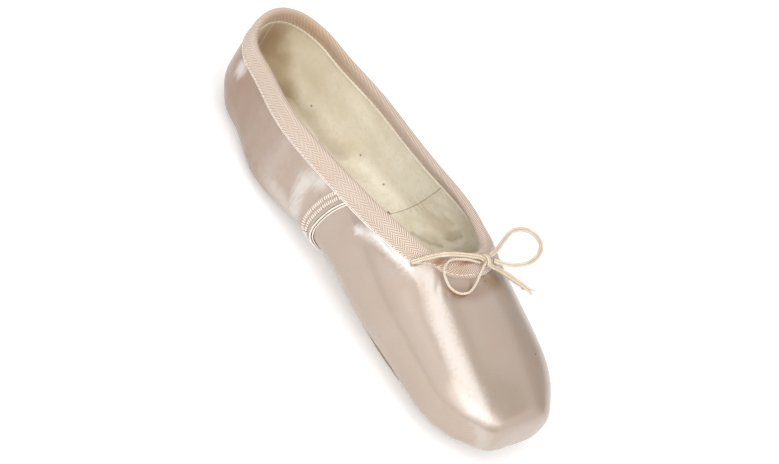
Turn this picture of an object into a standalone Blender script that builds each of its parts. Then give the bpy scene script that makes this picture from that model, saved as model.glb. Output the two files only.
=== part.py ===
"""A satin pointe shoe on a straight last, standing empty on its sole.

The frame is +X to the toe, +Y to the shoe's left and +Z up, with the floor at z = 0 and the origin
under the middle of the shoe. Sizes are in millimetres and turned into metres where meshes are made.
Lengths along the shoe are counted from the back of the heel, and from_heel() moves them to the frame.
"""

from collections import namedtuple

import bmesh
import bpy
import numpy as np
from mathutils import Vector
from mathutils.bvhtree import BVHTree

MM = 0.001
GAP = 0.3  # between neighbouring pieces
ON_AXIS = 1e-6  # a point nearer than this to the middle plane lies on it
SEAM_MERGE = 0.00005  # in metres, where a half meets its mirror image

# Driving sizes of the last
LENGTH = 239.0
HEEL_CENTRE = 26.0  # centre of the round heel, and its radius at the back
PLATFORM_ROOT = 236.6  # where the box starts to turn in to its flat platform
CROWN_FULLNESS = 2.1  # exponent of the upper half of every section

Row = namedtuple("Row", "x half_width flat_half widest top fullness")
LAST = (
    #   x    half width  flat half  widest at  top   lower fullness
    Row(26.0, 27.4, 19.5, 18.0, 82.0, 1.5),
    Row(56.0, 33.2, 17.0, 13.5, 77.0, 3.0),
    Row(86.0, 34.3, 13.8, 14.4, 71.5, 2.7),
    Row(111.0, 34.6, 15.2, 18.0, 66.8, 1.7),
    Row(136.0, 37.1, 21.0, 21.6, 63.0, 1.4),
    Row(161.0, 38.5, 26.0, 21.4, 57.0, 1.4),
    Row(181.0, 37.9, 26.6, 20.2, 51.0, 1.35),
    Row(201.0, 36.8, 24.6, 19.0, 45.6, 1.9),
    Row(221.0, 31.8, 19.0, 18.3, 38.6, 2.6),
    Row(236.6, 20.0, 12.0, 18.6, 31.4, 1.8),
)
HEEL_BACK = Row(0.0, 26.0, 10.5, 19.0, 84.0, 1.3)

# Sole
SOLE_THICK = 2.5
SOLE_EDGE = 0.8
SOLE_FRONT = 218.0
SOLE_SHOULDER = 184.0  # where the front of the sole starts to round
FRONT_SQUARENESS = 2.7
ARCH_HEIGHT = 4.4
ARCH_SPAN = (54.0, 158.0)
SPRING_START = 191.0
SPRING_RATE = 0.0018  # rise in mm for each square mm past the start

# Upper
QUARTER_WALL = 1.8
BOX_WALL = 3.0
BOX_SPAN = (103.0, 178.0)  # where the wall grows from quarter to box
MARGIN = 6.0  # of the upper turned under, on to the sole
OPENING_FRONT = 211.0
OPENING_SHOULDER = 188.0
THROAT = 166.0
COLLAR_BACK = 51.5
Edge = namedtuple("Edge", "x height")
COLLAR = (
    Edge(26.0, 46.0),
    Edge(56.0, 46.0),
    Edge(86.0, 47.5),
    Edge(111.0, 50.2),
    Edge(136.0, 53.5),
    Edge(154.0, 54.3),
    Edge(161.0, 54.3),
)

# Platform: the scale of each ring round its edge, and of those across its flat face
Ring = namedtuple("Ring", "x scale")
ROUNDING = (Ring(PLATFORM_ROOT, 1.0), Ring(238.2, 0.955), Ring(LENGTH, 0.87))
FACE_SCALES = (0.58, 0.29, 0.0)

# How finely the upper is divided along the shoe and round each section
HEEL_STEPS = 9
Run = namedtuple("Run", "start end steps closing")
RUNS = (
    #   start            end               steps  closing up at its end
    Run(HEEL_CENTRE, 144.0, 16, False),
    Run(144.0, THROAT, 6, True),
    Run(THROAT, OPENING_SHOULDER, 4, False),
    Run(OPENING_SHOULDER, OPENING_FRONT, 5, True),
    Run(OPENING_FRONT, PLATFORM_ROOT, 6, False),
)
FLAT_STEPS = 2
LOW_STEPS = 5
HIGH_STEPS = 7

# Places along half a section: the flat under the foot, the widest point and the top
FLAT_END = 0.15
WIDEST_AT = 0.5

# Insole
INSOLE_THICK = 1.6
INSOLE_FRONT = 220.0
INSOLE_INSET = 1.2
CORE_INSET = 0.6

# How finely the plates under the foot are divided
PLATE_TURNS = (80.0, 66.0, 52.0, 38.0, 25.0, 12.0)  # degrees round the heel, from its back
PLATE_STEPS = 18
PLATE_FRONT_STEPS = 8

# Binding round the collar
BAND_THICK = 1.0
OUTER_LEG = (10.0, 5.0, 0.0)
INNER_LEG = (0.0, 3.5, 7.5)
CREST_ANGLES = (50.0, 90.0, 130.0)

# Drawstring, tied in a bow: routes of its centre line, with x from the back of the heel
CORD = 2.4
CORD_STEP = 5.0
CORD_SAMPLES = 20  # between two points of a route, before it is cut to even steps
KNOT = (171.4, 5.2, 58.3)
KNOT_HALF = (3.0, 1.9, 2.7)
STRING = (
    (158.6, -27.4, 51.4),
    (160.9, -22.6, 54.5),
    (162.6, -16.2, 57.4),
    (164.7, -9.6, 58.8),
    (167.1, -3.2, 59.1),
    (169.9, 2.7, 59.4),
)
LEFT_LOOP = (
    (171.2, 2.7, 56.9),
    (169.9, -1.6, 57.2),
    (168.3, -6.9, 57.4),
    (166.8, -12.6, 56.6),
    (168.6, -16.6, 55.2),
    (172.3, -17.8, 53.8),
    (176.6, -16.6, 51.7),
    (180.3, -13.5, 51.3),
    (181.4, -9.1, 52.2),
    (179.3, -4.4, 53.6),
    (176.0, -0.6, 56.6),
    (173.4, 2.7, 59.0),
)
RIGHT_LOOP = (
    (170.3, 7.7, 59.7),
    (168.3, 13.4, 60.3),
    (164.5, 20.6, 61.2),
    (161.8, 26.8, 62.0),
    (161.7, 32.0, 62.6),
    (163.8, 36.2, 63.0),
    (168.1, 38.1, 63.1),
    (172.9, 37.1, 62.8),
    (177.1, 32.2, 62.1),
    (179.2, 25.6, 61.4),
    (179.0, 19.9, 60.8),
    (177.0, 13.6, 60.3),
    (173.2, 7.7, 60.0),
)
LONG_END = (
    (173.9, 7.7, 57.2),
    (176.2, 11.4, 56.4),
    (178.3, 14.8, 55.2),
    (181.6, 18.6, 54.0),
    (185.0, 22.3, 52.8),
    (187.8, 25.9, 51.3),
)
SHORT_END = (
    (171.1, 7.7, 56.8),
    (173.6, 11.9, 54.2),
    (177.4, 16.7, 52.5),
    (180.8, 20.4, 51.3),
    (184.1, 24.0, 50.3),
)

Finish = namedtuple("Finish", "colour roughness")
SATIN = Finish((0.72, 0.53, 0.46), 0.34)
TWILL = Finish((0.73, 0.56, 0.47), 0.62)
LEATHER = Finish((0.62, 0.50, 0.36), 0.6)
CANVAS = Finish((0.74, 0.67, 0.53), 0.85)
BRAID = Finish((0.76, 0.67, 0.54), 0.8)


def clear_scene():
    for obj in list(bpy.data.objects):
        bpy.data.objects.remove(obj, do_unlink=True)


def from_heel(x):
    """The frame's x of a length counted from the back of the heel."""
    return x - LENGTH / 2


def rounded_front(x, shoulder, front):
    """The share of its width that a plate keeps at x, as its front rounds off past the shoulder."""
    u = np.clip((x - shoulder) / (front - shoulder), 0.0, 1.0)
    return (1 - u**FRONT_SQUARENESS) ** (1 / FRONT_SQUARENESS)


def smooth_step(value, start, end):
    u = np.clip((value - start) / (end - start), 0.0, 1.0)
    return u * u * (3 - 2 * u)


def spline(xs, ys):
    """A cubic spline, level at its first point and free of bending at its last."""
    xs, ys = np.asarray(xs, float), np.asarray(ys, float)
    step, slope = np.diff(xs), np.diff(ys) / np.diff(xs)
    count = len(xs)
    matrix, right = np.zeros((count, count)), np.zeros(count)
    matrix[0, :2] = 2 * step[0], step[0]
    right[0] = 6 * slope[0]
    for i in range(1, count - 1):
        matrix[i, i - 1 : i + 2] = step[i - 1], 2 * (step[i - 1] + step[i]), step[i]
        right[i] = 6 * (slope[i] - slope[i - 1])
    matrix[-1, -1] = 1.0
    bend = np.linalg.solve(matrix, right)

    def value(x):
        i = int(np.clip(np.searchsorted(xs, x) - 1, 0, count - 2))
        a, b, h = xs[i + 1] - x, x - xs[i], step[i]
        ends = (ys[i] / h - bend[i] * h / 6) * a + (ys[i + 1] / h - bend[i + 1] * h / 6) * b
        return ends + (bend[i] * a**3 + bend[i + 1] * b**3) / (6 * h)

    return value


CURVES = {
    name: spline([row.x for row in LAST], [getattr(row, name) for row in LAST])
    for name in ("half_width", "flat_half", "widest", "top", "fullness")
}


def sole_rise(x):
    """How far the last's flat lifts over the arch and under the toe."""
    u = np.clip((x - ARCH_SPAN[0]) / (ARCH_SPAN[1] - ARCH_SPAN[0]), 0.0, 1.0)
    return ARCH_HEIGHT * np.sin(np.pi * u) ** 2 + SPRING_RATE * max(x - SPRING_START, 0.0) ** 2


def last_bottom(x):
    return SOLE_THICK + GAP + sole_rise(x)


def collar_height(x):
    points = COLLAR + ((THROAT, CURVES["top"](THROAT)),)
    return spline(*zip(*points))(x)


def wall_at(x):
    return QUARTER_WALL + (BOX_WALL - QUARTER_WALL) * smooth_step(x, *BOX_SPAN)


class Station:
    """One section of the last: across the body, or turned about the heel's centre."""

    def __init__(self, x, turn=0.0, scale=1.0):
        row = Row(x, *(CURVES[name](min(x, PLATFORM_ROOT)) for name in Row._fields[1:]))
        height = collar_height(x) if x < THROAT else row.top
        if turn:
            mix = np.sin(turn) ** 2
            row = Row(*(a * (1 - mix) + b * mix for a, b in zip(row, HEEL_BACK)))
            height = height * (1 - mix) + COLLAR_BACK * mix
        self.x, self.turn, self.scale, self.row, self.height = x, turn, scale, row, height
        self.bottom = last_bottom(min(x, PLATFORM_ROOT))
        self.wall = wall_at(x)

    def point(self, t, inset=0.0):
        """A point of the skin at t, from 0 under the foot to 1 at the top, inset towards the foot."""
        row = self.row
        wide, low, high = row.half_width - inset, self.bottom + inset, row.top - inset
        if t <= FLAT_END:
            reach, z = row.flat_half * t / FLAT_END, low
        elif t <= WIDEST_AT:
            angle = (t - FLAT_END) / (WIDEST_AT - FLAT_END) * np.pi / 2
            reach = row.flat_half + (wide - row.flat_half) * np.sin(angle) ** (2 / row.fullness)
            z = row.widest - (row.widest - low) * max(np.cos(angle), 0.0) ** (2 / row.fullness)
        else:
            angle = (t - WIDEST_AT) / (1 - WIDEST_AT) * np.pi / 2
            reach = wide * max(np.cos(angle), 0.0) ** (2 / CROWN_FULLNESS)
            z = row.widest + (high - row.widest) * np.sin(angle) ** (2 / CROWN_FULLNESS)
        reach *= self.scale
        z = row.widest + (z - row.widest) * self.scale
        x = self.x - inset * smooth_step(self.x, SOLE_FRONT, PLATFORM_ROOT)
        across = reach * np.cos(self.turn)
        across = across if across > ON_AXIS else 0.0
        return Vector((from_heel(x - reach * np.sin(self.turn)), across, z))

    def opening_half(self):
        """Half the width of the hole that the sole closes."""
        return (self.row.flat_half - MARGIN) * rounded_front(self.x, OPENING_SHOULDER, OPENING_FRONT)

    def columns(self):
        """The places t of this section's points, from the hole underneath to the collar or the top."""
        start = FLAT_END * self.opening_half() / self.row.flat_half
        row = self.row
        rise = np.clip((self.height - row.widest) / (row.top - row.widest), 0.0, 1.0)
        angle = np.arcsin(min(rise ** (CROWN_FULLNESS / 2), 1.0))
        end = WIDEST_AT + (1 - WIDEST_AT) * angle / (np.pi / 2)
        flat = evenly(start, FLAT_END, FLAT_STEPS)
        low = evenly(FLAT_END, WIDEST_AT, LOW_STEPS)
        return np.concatenate([flat, low, evenly(WIDEST_AT, end, HIGH_STEPS), [end]])


def evenly(start, end, steps):
    """Values from start to one step before end."""
    return np.linspace(start, end, steps, endpoint=False)


def closing_up(start, end, steps):
    """Values from start to one step before end, with shorter steps towards end."""
    return start + (end - start) * np.sin(evenly(0.0, np.pi / 2, steps))


def shoe_stations():
    """Every section of the upper, from the back of the heel to the platform's middle."""
    heel = [Station(HEEL_CENTRE, turn) for turn in evenly(np.pi / 2, 0.0, HEEL_STEPS)]
    body = []
    for start, end, steps, closing in RUNS:
        spread = closing_up if closing else evenly
        body += [Station(float(x)) for x in spread(start, end, steps)]
    edge = [Station(ring.x, scale=ring.scale) for ring in ROUNDING]
    face = [Station(LENGTH, scale=scale) for scale in FACE_SCALES]
    return heel + body + edge + face


def dress(obj, finish):
    material = bpy.data.materials.new(obj.name)
    material.use_nodes = True
    shader = material.node_tree.nodes["Principled BSDF"]
    shader.inputs["Base Color"].default_value = (*finish.colour, 1.0)
    shader.inputs["Roughness"].default_value = finish.roughness
    shader.inputs["Metallic"].default_value = 0.0
    obj.data.materials.append(material)


def add_mesh(name, points, faces, finish, mirrored=False):
    """A smooth mesh object from points in millimetres."""
    mesh = bpy.data.meshes.new(name)
    mesh.from_pydata([tuple(point * MM) for point in points], [], faces)
    mesh.validate()
    mesh.shade_smooth()
    obj = bpy.data.objects.new(name, mesh)
    bpy.context.scene.collection.objects.link(obj)
    if mirrored:
        mirror = obj.modifiers.new("other_half", "MIRROR")
        mirror.use_axis = (False, True, False)
        mirror.merge_threshold = SEAM_MERGE
    dress(obj, finish)
    return obj


def grid_faces(rows, columns, flip=False, offset=0):
    """Quads over a grid of points stored row by row."""
    faces = []
    for i in range(rows - 1):
        for j in range(columns - 1):
            a, b = offset + i * columns + j, offset + (i + 1) * columns + j
            face = (a, a + 1, b + 1, b)
            faces.append(face[::-1] if flip else face)
    return faces


def without_doubles(points, faces):
    """The same shape with coincident points made one and empty faces dropped."""
    keys, kept, index = {}, [], []
    for point in points:
        key = tuple(round(value, 4) for value in point)
        if key not in keys:
            keys[key] = len(kept)
            kept.append(point)
        index.append(keys[key])
    clean = []
    for face in faces:
        corners = list(dict.fromkeys(index[corner] for corner in face))
        if len(corners) > 2:
            clean.append(corners)
    return kept, clean


def skin_points(stations, columns, inset_of):
    return [station.point(t, inset_of(station)) for station, ts in zip(stations, columns) for t in ts]


def add_upper(stations):
    """Half of the upper's wall with its rims, and its image. Returns its outer and inner skin."""
    columns = [station.columns() for station in stations]
    rows, count = len(stations), len(columns[0])
    outer = skin_points(stations, columns, lambda station: 0.0)
    inner = skin_points(stations, columns, lambda station: station.wall)
    half = len(outer)
    faces = grid_faces(rows, count) + grid_faces(rows, count, flip=True, offset=half)
    for i in range(rows - 1):
        for j, turned in ((0, False), (count - 1, True)):
            a, b = i * count + j, (i + 1) * count + j
            if outer[a].y > 0 or outer[b].y > 0:
                face = (a, b, b + half, a + half)
                faces.append(face[::-1] if turned else face)
    points, faces = without_doubles(outer + inner, faces)
    add_mesh("upper", points, faces, SATIN, mirrored=True)
    return [BVHTree.FromPolygons(skin, grid_faces(rows, count)) for skin in (outer, inner)]


def plan_rows(front, shoulder, inset):
    """Length and half width of each row of a plate under the foot, from heel to front."""
    rows = []
    for turn in np.radians(PLATE_TURNS):
        station = Station(HEEL_CENTRE, turn)
        reach = station.row.flat_half - inset
        rows.append((HEEL_CENTRE - reach * np.sin(turn), reach * np.cos(turn)))
    straight = evenly(HEEL_CENTRE, shoulder, PLATE_STEPS)
    for x in [*straight, *closing_up(shoulder, front, PLATE_FRONT_STEPS)]:
        rows.append((x, (CURVES["flat_half"](x) - inset) * rounded_front(x, shoulder, front)))
    return rows


def add_plate(name, rows, profile, finish):
    """A closed plate along rows. profile(x, half) gives the y and z of its left edge, bottom first."""
    points, count = [], 0
    for x, half in rows:
        outline = profile(x, half)
        ring = [(y, z) for y, z in outline] + [(-y, z) for y, z in reversed(outline)]
        count = len(ring)
        points += [Vector((from_heel(x), y, z)) for y, z in ring]
    faces = []
    for i in range(len(rows) - 1):
        for j in range(count):
            k = (j + 1) % count
            faces.append((i * count + j, i * count + k, (i + 1) * count + k, (i + 1) * count + j))
    last = (len(rows) - 1) * count
    faces += [tuple(reversed(range(count))), tuple(range(last, last + count))]
    return add_mesh(name, points, faces, finish)


def add_outsole():
    def profile(x, half):
        low = sole_rise(x)
        edge = min(SOLE_EDGE, half / 3)
        return [(half - edge, low), (half, low + edge), (half, low + SOLE_THICK)]

    return add_plate("outsole", plan_rows(SOLE_FRONT, SOLE_SHOULDER, 0.0), profile, LEATHER)


def add_insole():
    """The board that the foot stands on, with a core that fills the hole in the upper's underside."""

    def board(x, half):
        low = last_bottom(x) + wall_at(x) + GAP
        return [(half, low), (half, low + INSOLE_THICK)]

    def core(x, half):
        return [(half, last_bottom(x)), (half, last_bottom(x) + wall_at(x) + GAP + INSOLE_THICK / 2)]

    insole = add_plate("insole", plan_rows(INSOLE_FRONT, SOLE_SHOULDER, INSOLE_INSET), board, CANVAS)
    core_rows = plan_rows(OPENING_FRONT - 2 * CORE_INSET, OPENING_SHOULDER, MARGIN + CORE_INSET)
    filler = add_plate("insole_core", core_rows, core, CANVAS)
    filler.hide_render = True
    filler.display_type = "WIRE"
    join = insole.modifiers.new("core", "BOOLEAN")
    join.operation = "UNION"
    join.object = filler
    return insole


def leg_point(skin, start, direction, away, offset):
    """The point of a skin nearest to a step along direction, lifted off it by offset."""
    place, normal, _, _ = skin.find_nearest(start + direction * away)
    return place + normal * offset


def mirror_image(point):
    return Vector((point.x, -point.y, point.z))


def add_binding(stations, skins):
    """A band folded over the collar's edge, from the heel's back to the throat, and its image."""
    outer_skin, inner_skin = skins
    edge = [s for s in stations if s.x <= THROAT]
    tops = [s.point(s.columns()[-1]) for s in edge]
    rims = [s.point(s.columns()[-1], s.wall) for s in edge]
    points, count = [], 0
    for i, (top, rim) in enumerate(zip(tops, rims)):
        before = tops[i - 1] if i else mirror_image(tops[1])
        after = tops[i + 1] if i + 1 < len(tops) else mirror_image(tops[i - 1])
        along = (after - before).normalized()
        across = (top - rim).normalized()
        across = (across - along * across.dot(along)).normalized()
        down = along.cross(across)
        down = down if down.z < 0 or abs(down.z) < abs(down.x) and down.x > 0 else -down
        middle, half = (top + rim) / 2, (top - rim).length / 2
        outside = [leg_point(outer_skin, top, down, away, GAP + BAND_THICK) for away in OUTER_LEG]
        radius = half + GAP + BAND_THICK
        turns = np.radians(CREST_ANGLES)
        crest = [middle + (across * np.cos(a) - down * np.sin(a)) * radius for a in turns]
        inside = [leg_point(inner_skin, rim, down, away, -GAP - BAND_THICK) for away in INNER_LEG]
        lining_in = [leg_point(inner_skin, rim, down, away, -GAP) for away in reversed(INNER_LEG)]
        roof = [middle + across * side * (half + GAP) - down * GAP for side in (-1, 1)]
        lining_out = [leg_point(outer_skin, top, down, away, GAP) for away in reversed(OUTER_LEG)]
        ring = outside + crest + inside + lining_in + roof + lining_out
        if top.y == 0:
            for point in ring:
                point.y = 0.0
        count = len(ring)
        points += ring
    faces = []
    for i in range(len(edge) - 1):
        for j in range(count):
            k = (j + 1) % count
            faces.append((i * count + j, i * count + k, (i + 1) * count + k, (i + 1) * count + j))
    return add_mesh("collar_binding", points, faces, TWILL, mirrored=True)


def smooth_route(route):
    """Points a step apart on a smooth curve through the route's own points."""
    guide = [np.array((from_heel(x), y, z)) for x, y, z in route]
    ends = [2 * guide[0] - guide[1], *guide, 2 * guide[-1] - guide[-2]]
    line = []
    for before, start, end, after in zip(ends, ends[1:], ends[2:], ends[3:]):
        lean_in, lean_out = (end - before) / 2, (after - start) / 2
        for u in evenly(0.0, 1.0, CORD_SAMPLES):
            swing = (2 * u**3 - 3 * u**2 + 1) * start + (3 * u**2 - 2 * u**3) * end
            line.append(swing + (u**3 - 2 * u**2 + u) * lean_in + (u**3 - u**2) * lean_out)
    line.append(guide[-1])
    travelled = np.cumsum([0.0] + [np.linalg.norm(b - a) for a, b in zip(line, line[1:])])
    count = max(round(travelled[-1] / CORD_STEP), 3)
    wanted = np.linspace(0.0, travelled[-1], count + 1)
    columns = [np.interp(wanted, travelled, [point[axis] for point in line]) for axis in range(3)]
    return list(zip(*columns))


def add_cord(name, route):
    points = smooth_route(route)
    curve = bpy.data.curves.new(name, "CURVE")
    curve.dimensions = "3D"
    curve.bevel_depth = CORD / 2 * MM
    curve.bevel_resolution = 2
    curve.use_fill_caps = True
    line = curve.splines.new("POLY")
    line.points.add(len(points) - 1)
    for place, point in zip(line.points, points):
        place.co = (*(value * MM for value in point), 1.0)
    obj = bpy.data.objects.new(name, curve)
    bpy.context.scene.collection.objects.link(obj)
    dress(obj, BRAID)


def add_knot():
    mesh = bpy.data.meshes.new("bow_knot")
    shape = bmesh.new()
    bmesh.ops.create_uvsphere(shape, u_segments=12, v_segments=8, radius=1.0)
    bmesh.ops.scale(shape, vec=Vector(KNOT_HALF) * MM, verts=shape.verts)
    shape.to_mesh(mesh)
    shape.free()
    mesh.shade_smooth()
    knot = bpy.data.objects.new("bow_knot", mesh)
    knot.location = Vector((from_heel(KNOT[0]), *KNOT[1:])) * MM
    bpy.context.scene.collection.objects.link(knot)
    dress(knot, BRAID)


def main():
    clear_scene()
    stations = shoe_stations()
    skins = add_upper(stations)
    add_outsole()
    add_insole()
    add_binding(stations, skins)
    add_cord("drawstring", STRING)
    add_knot()
    add_cord("bow_loop_left", LEFT_LOOP)
    add_cord("bow_loop_right", RIGHT_LOOP)
    add_cord("bow_end_long", LONG_END)
    add_cord("bow_end_short", SHORT_END)


main()
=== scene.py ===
"""The looks of a satin pointe shoe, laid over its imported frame.

Places are in metres in the frame's axes: +X to the toe, +Y to the shoe's left and +Z up, with the
floor at z = 0. A length "along" the shoe is counted from the back of the heel, and every sheet of
cloth keeps its flat shape, in metres, as its UV map.
"""

import logging
import math
from collections.abc import Callable, Iterator, Sequence
from contextlib import contextmanager
from dataclasses import dataclass, field
from enum import Enum
from functools import reduce
from itertools import pairwise
from typing import Any, Protocol

import bpy
import numpy as np
from mathutils import Matrix, Vector
from mathutils.bvhtree import BVHTree


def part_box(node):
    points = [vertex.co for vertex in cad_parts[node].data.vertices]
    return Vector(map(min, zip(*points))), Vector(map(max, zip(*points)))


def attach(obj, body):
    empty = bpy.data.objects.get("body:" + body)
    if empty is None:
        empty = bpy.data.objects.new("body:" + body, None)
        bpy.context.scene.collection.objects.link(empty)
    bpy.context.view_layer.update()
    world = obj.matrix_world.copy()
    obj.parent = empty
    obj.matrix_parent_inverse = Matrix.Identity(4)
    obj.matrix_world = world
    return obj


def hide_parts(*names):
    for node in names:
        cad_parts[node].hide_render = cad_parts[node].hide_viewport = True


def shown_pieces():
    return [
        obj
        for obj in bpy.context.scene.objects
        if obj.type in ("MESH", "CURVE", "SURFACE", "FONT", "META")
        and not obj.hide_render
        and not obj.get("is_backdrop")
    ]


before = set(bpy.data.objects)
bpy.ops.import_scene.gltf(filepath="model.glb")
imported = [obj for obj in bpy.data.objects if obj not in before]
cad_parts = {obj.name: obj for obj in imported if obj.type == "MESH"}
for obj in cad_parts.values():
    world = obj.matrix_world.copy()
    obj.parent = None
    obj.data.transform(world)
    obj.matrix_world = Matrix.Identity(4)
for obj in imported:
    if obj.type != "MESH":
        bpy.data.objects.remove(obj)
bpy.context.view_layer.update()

LOG = logging.getLogger("pointe_shoe")
MM = 0.001
DOWN, UP = Vector((0.0, 0.0, -1.0)), Vector((0.0, 0.0, 1.0))
FORM_HALF = 119.5 * MM
WELD = 0.02 * MM
MATERIALS: dict["Finish", bpy.types.Material] = {}

Point = Colour = tuple[float, float, float]
Route = tuple[Point, ...]
Piece = bpy.types.Object
Array = np.ndarray
Patch = tuple[Point, Point, float]
Stroke = tuple[Route, float, float]


class Side(Enum):
    """A side of the shoe, as the sign of its y."""

    RIGHT = -1
    LEFT = 1


# ---- bench work ----


class Bench:
    """Work with Blender's own operators, one object at a time."""

    @staticmethod
    def pick(*objects: Piece) -> None:
        """Selects only these objects, the first of them active.

        Args:
            *objects: The objects.
        """
        for obj in bpy.context.selected_objects:
            obj.select_set(False)
        for obj in objects:
            obj.select_set(True)
        bpy.context.view_layer.objects.active = objects[0] if objects else None

    @staticmethod
    @contextmanager
    def editing(obj: Piece) -> Iterator[None]:
        """Edit mode on one object, with all of its mesh selected.

        Args:
            obj: The object.

        Returns:
            A context for the work.
        """
        Bench.pick(obj)
        bpy.ops.object.mode_set(mode="EDIT")
        bpy.ops.mesh.select_all(action="SELECT")
        yield
        bpy.ops.object.mode_set(mode="OBJECT")

    @staticmethod
    def finish(obj: Piece, kind: str, **settings: Any) -> None:
        """Adds a modifier with these settings and applies it.

        Args:
            obj: The object.
            kind: The modifier's type.
            **settings: Its settings, by their names.
        """
        Bench.pick(obj)
        modifier = obj.modifiers.new(kind.lower(), kind)
        for name, value in settings.items():
            setattr(modifier, name, value)
        bpy.ops.object.modifier_apply(modifier=modifier.name)

    @staticmethod
    def cut_apart(node: str, sharp: float) -> list[Piece]:
        """A copy of a CAD node, merged, turned back into quads and cut apart along its sharp edges.

        Args:
            node: The node's name.
            sharp: The least angle between the faces of a sharp edge, in degrees.

        Returns:
            The parts that it comes apart into.
        """
        Bench.pick(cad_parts[node])
        bpy.ops.object.duplicate()
        copy = bpy.context.active_object
        copy.parent = None
        with Bench.editing(copy):
            bpy.ops.mesh.remove_doubles(threshold=0.01 * MM)
            bpy.ops.mesh.tris_convert_to_quads(face_threshold=0.7, shape_threshold=0.9)
            bpy.ops.mesh.select_mode(type="EDGE")
            bpy.ops.mesh.select_all(action="DESELECT")
            bpy.ops.mesh.edges_select_sharp(sharpness=math.radians(sharp))
            bpy.ops.mesh.edge_split(type="EDGE")
            bpy.ops.mesh.separate(type="LOOSE")
        return list(bpy.context.selected_objects)

    @staticmethod
    def discard(*objects: Piece) -> None:
        """Deletes working objects."""
        for obj in objects:
            bpy.data.objects.remove(obj, do_unlink=True)

    @staticmethod
    def move_points(obj: Piece, places: Array) -> None:
        """Puts each of the object's vertices at its place."""
        obj.data.vertices.foreach_set("co", places.astype(np.float32).ravel())

    @staticmethod
    def joined(name: str, pieces: Sequence[Piece], weld: float = 0.0, thick: float = 0.0) -> Piece:
        """Joins pieces into the first of them.

        Args:
            name: The joined piece's name.
            pieces: The pieces.
            weld: How close points are merged, or 0 to leave them.
            thick: The thickness that the joined sheet is then given.

        Returns:
            The joined piece.
        """
        Bench.pick(*pieces)
        bpy.ops.object.join()
        piece = bpy.context.active_object
        piece.name = piece.data.name = name
        if weld:
            with Bench.editing(piece):
                bpy.ops.mesh.remove_doubles(threshold=weld)
        if thick:
            Bench.finish(piece, "SOLIDIFY", thickness=thick, offset=-1.0)
        return piece

    @staticmethod
    def sheet(
        name: str,
        places: Array,
        flat: Array,
        thick: float = 0.0,
        turned: bool = False,
    ) -> Piece:
        """A grid laid over the shoe, point by point, and given its thickness.

        Args:
            name: The piece's name.
            places: Where each point goes, as rows by columns by 3.
            flat: Where each point lies on the flat cloth, as rows by columns by 2.
            thick: The cloth's thickness, which goes behind the places.
            turned: True to face the other way.

        Returns:
            The sheet's object, with its doubles merged.
        """
        rows, columns = places.shape[:2]
        Bench.pick()
        bpy.ops.mesh.primitive_grid_add(x_subdivisions=columns - 1, y_subdivisions=rows - 1)
        sheet = bpy.context.active_object
        sheet.name = sheet.data.name = name
        mesh = sheet.data
        Bench.move_points(sheet, places)
        corners = np.empty(len(mesh.loops), np.int32)
        mesh.loops.foreach_get("vertex_index", corners)
        mapped = flat.reshape(-1, 2)[corners]
        mesh.uv_layers.active.data.foreach_set("uv", mapped.astype(np.float32).ravel())
        with Bench.editing(sheet):
            bpy.ops.mesh.remove_doubles(threshold=0.004 * MM)
            if turned:
                bpy.ops.mesh.flip_normals()
        if thick:
            Bench.finish(sheet, "SOLIDIFY", thickness=thick, offset=-1.0)
        Bench.pick(sheet)
        bpy.ops.object.shade_smooth()
        return sheet


def points_of(obj: Piece) -> Array:
    """The object's vertices, as rows of x, y and z.

    Args:
        obj: The object.

    Returns:
        The points.
    """
    points = np.empty(len(obj.data.vertices) * 3, np.float32)
    obj.data.vertices.foreach_get("co", points)
    return points.reshape(-1, 3).astype(float)


def unit(vectors: Array) -> Array:
    """The vectors, each made one metre long."""
    return vectors / np.maximum(np.linalg.norm(vectors, axis=-1, keepdims=True), 1e-12)


def relaxed(places: Array, rounds: int, rings: bool = False) -> Array:
    """The grid with each inner point moved towards the middle of its neighbours.

    Args:
        places: The grid.
        rounds: How often the points move.
        rings: True if each row is closed, so that all of its points are inner ones.

    Returns:
        The evened grid.
    """
    inner = slice(None) if rings else slice(1, -1)
    for _ in range(rounds):
        wide = np.pad(places, ((0, 0), (1, 1), (0, 0)), mode="wrap") if rings else places
        middle = (wide[:-2, 1:-1] + wide[2:, 1:-1] + wide[1:-1, :-2] + wide[1:-1, 2:]) / 4
        places = places.copy()
        places[1:-1, inner] = places[1:-1, inner] * 0.5 + middle * 0.5
    return places


def evened(loop: Array, rounds: int) -> Array:
    """A closed row of values, each moved towards its neighbours' middle.

    Args:
        loop: The row, without its first value again at its end.
        rounds: How often the values move.

    Returns:
        The evened row.
    """
    for _ in range(rounds):
        loop = loop * 0.5 + (np.roll(loop, 1, axis=0) + np.roll(loop, -1, axis=0)) * 0.25
    return loop


def step(value: Any, start: float, end: float) -> Any:
    """A smooth step from 0 at start to 1 at end."""
    u = np.clip((value - start) / (end - start), 0.0, 1.0)
    return u * u * (3 - 2 * u)


def bump(value: Any, centre: float, width: float) -> Any:
    """A smooth bell of height 1 at the centre."""
    return np.exp(-(((value - centre) / width) ** 2))


def wander(value: Array, seed: float) -> Array:
    """An uneven wave between about -1 and 1, the same on each run.

    Args:
        value: How far along the wave, in radians.
        seed: What sets one wave apart from another.

    Returns:
        The height of the wave.
    """
    return (
        np.sin(value * 1.0 + seed) + np.sin(value * 2.3 + seed * 1.7) + np.sin(value * 0.41 + seed * 2.9)
    ) / 3


def travelled(line: Array) -> Array:
    """How far along the line each of its points is."""
    return np.concatenate([[0.0], np.cumsum(np.linalg.norm(np.diff(line, axis=0), axis=1))])


def between(line: Array, lengths: Array, wanted: Array) -> Array:
    """The line's points at the wanted lengths, where its own points are at these lengths."""
    return np.stack([np.interp(wanted, lengths, line[:, axis]) for axis in range(3)], axis=1)


def even_line(line: Array, count: int) -> Array:
    """The line as count points, evenly spaced."""
    lengths = travelled(line)
    return between(line, lengths, np.linspace(0.0, lengths[-1], count))


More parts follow.
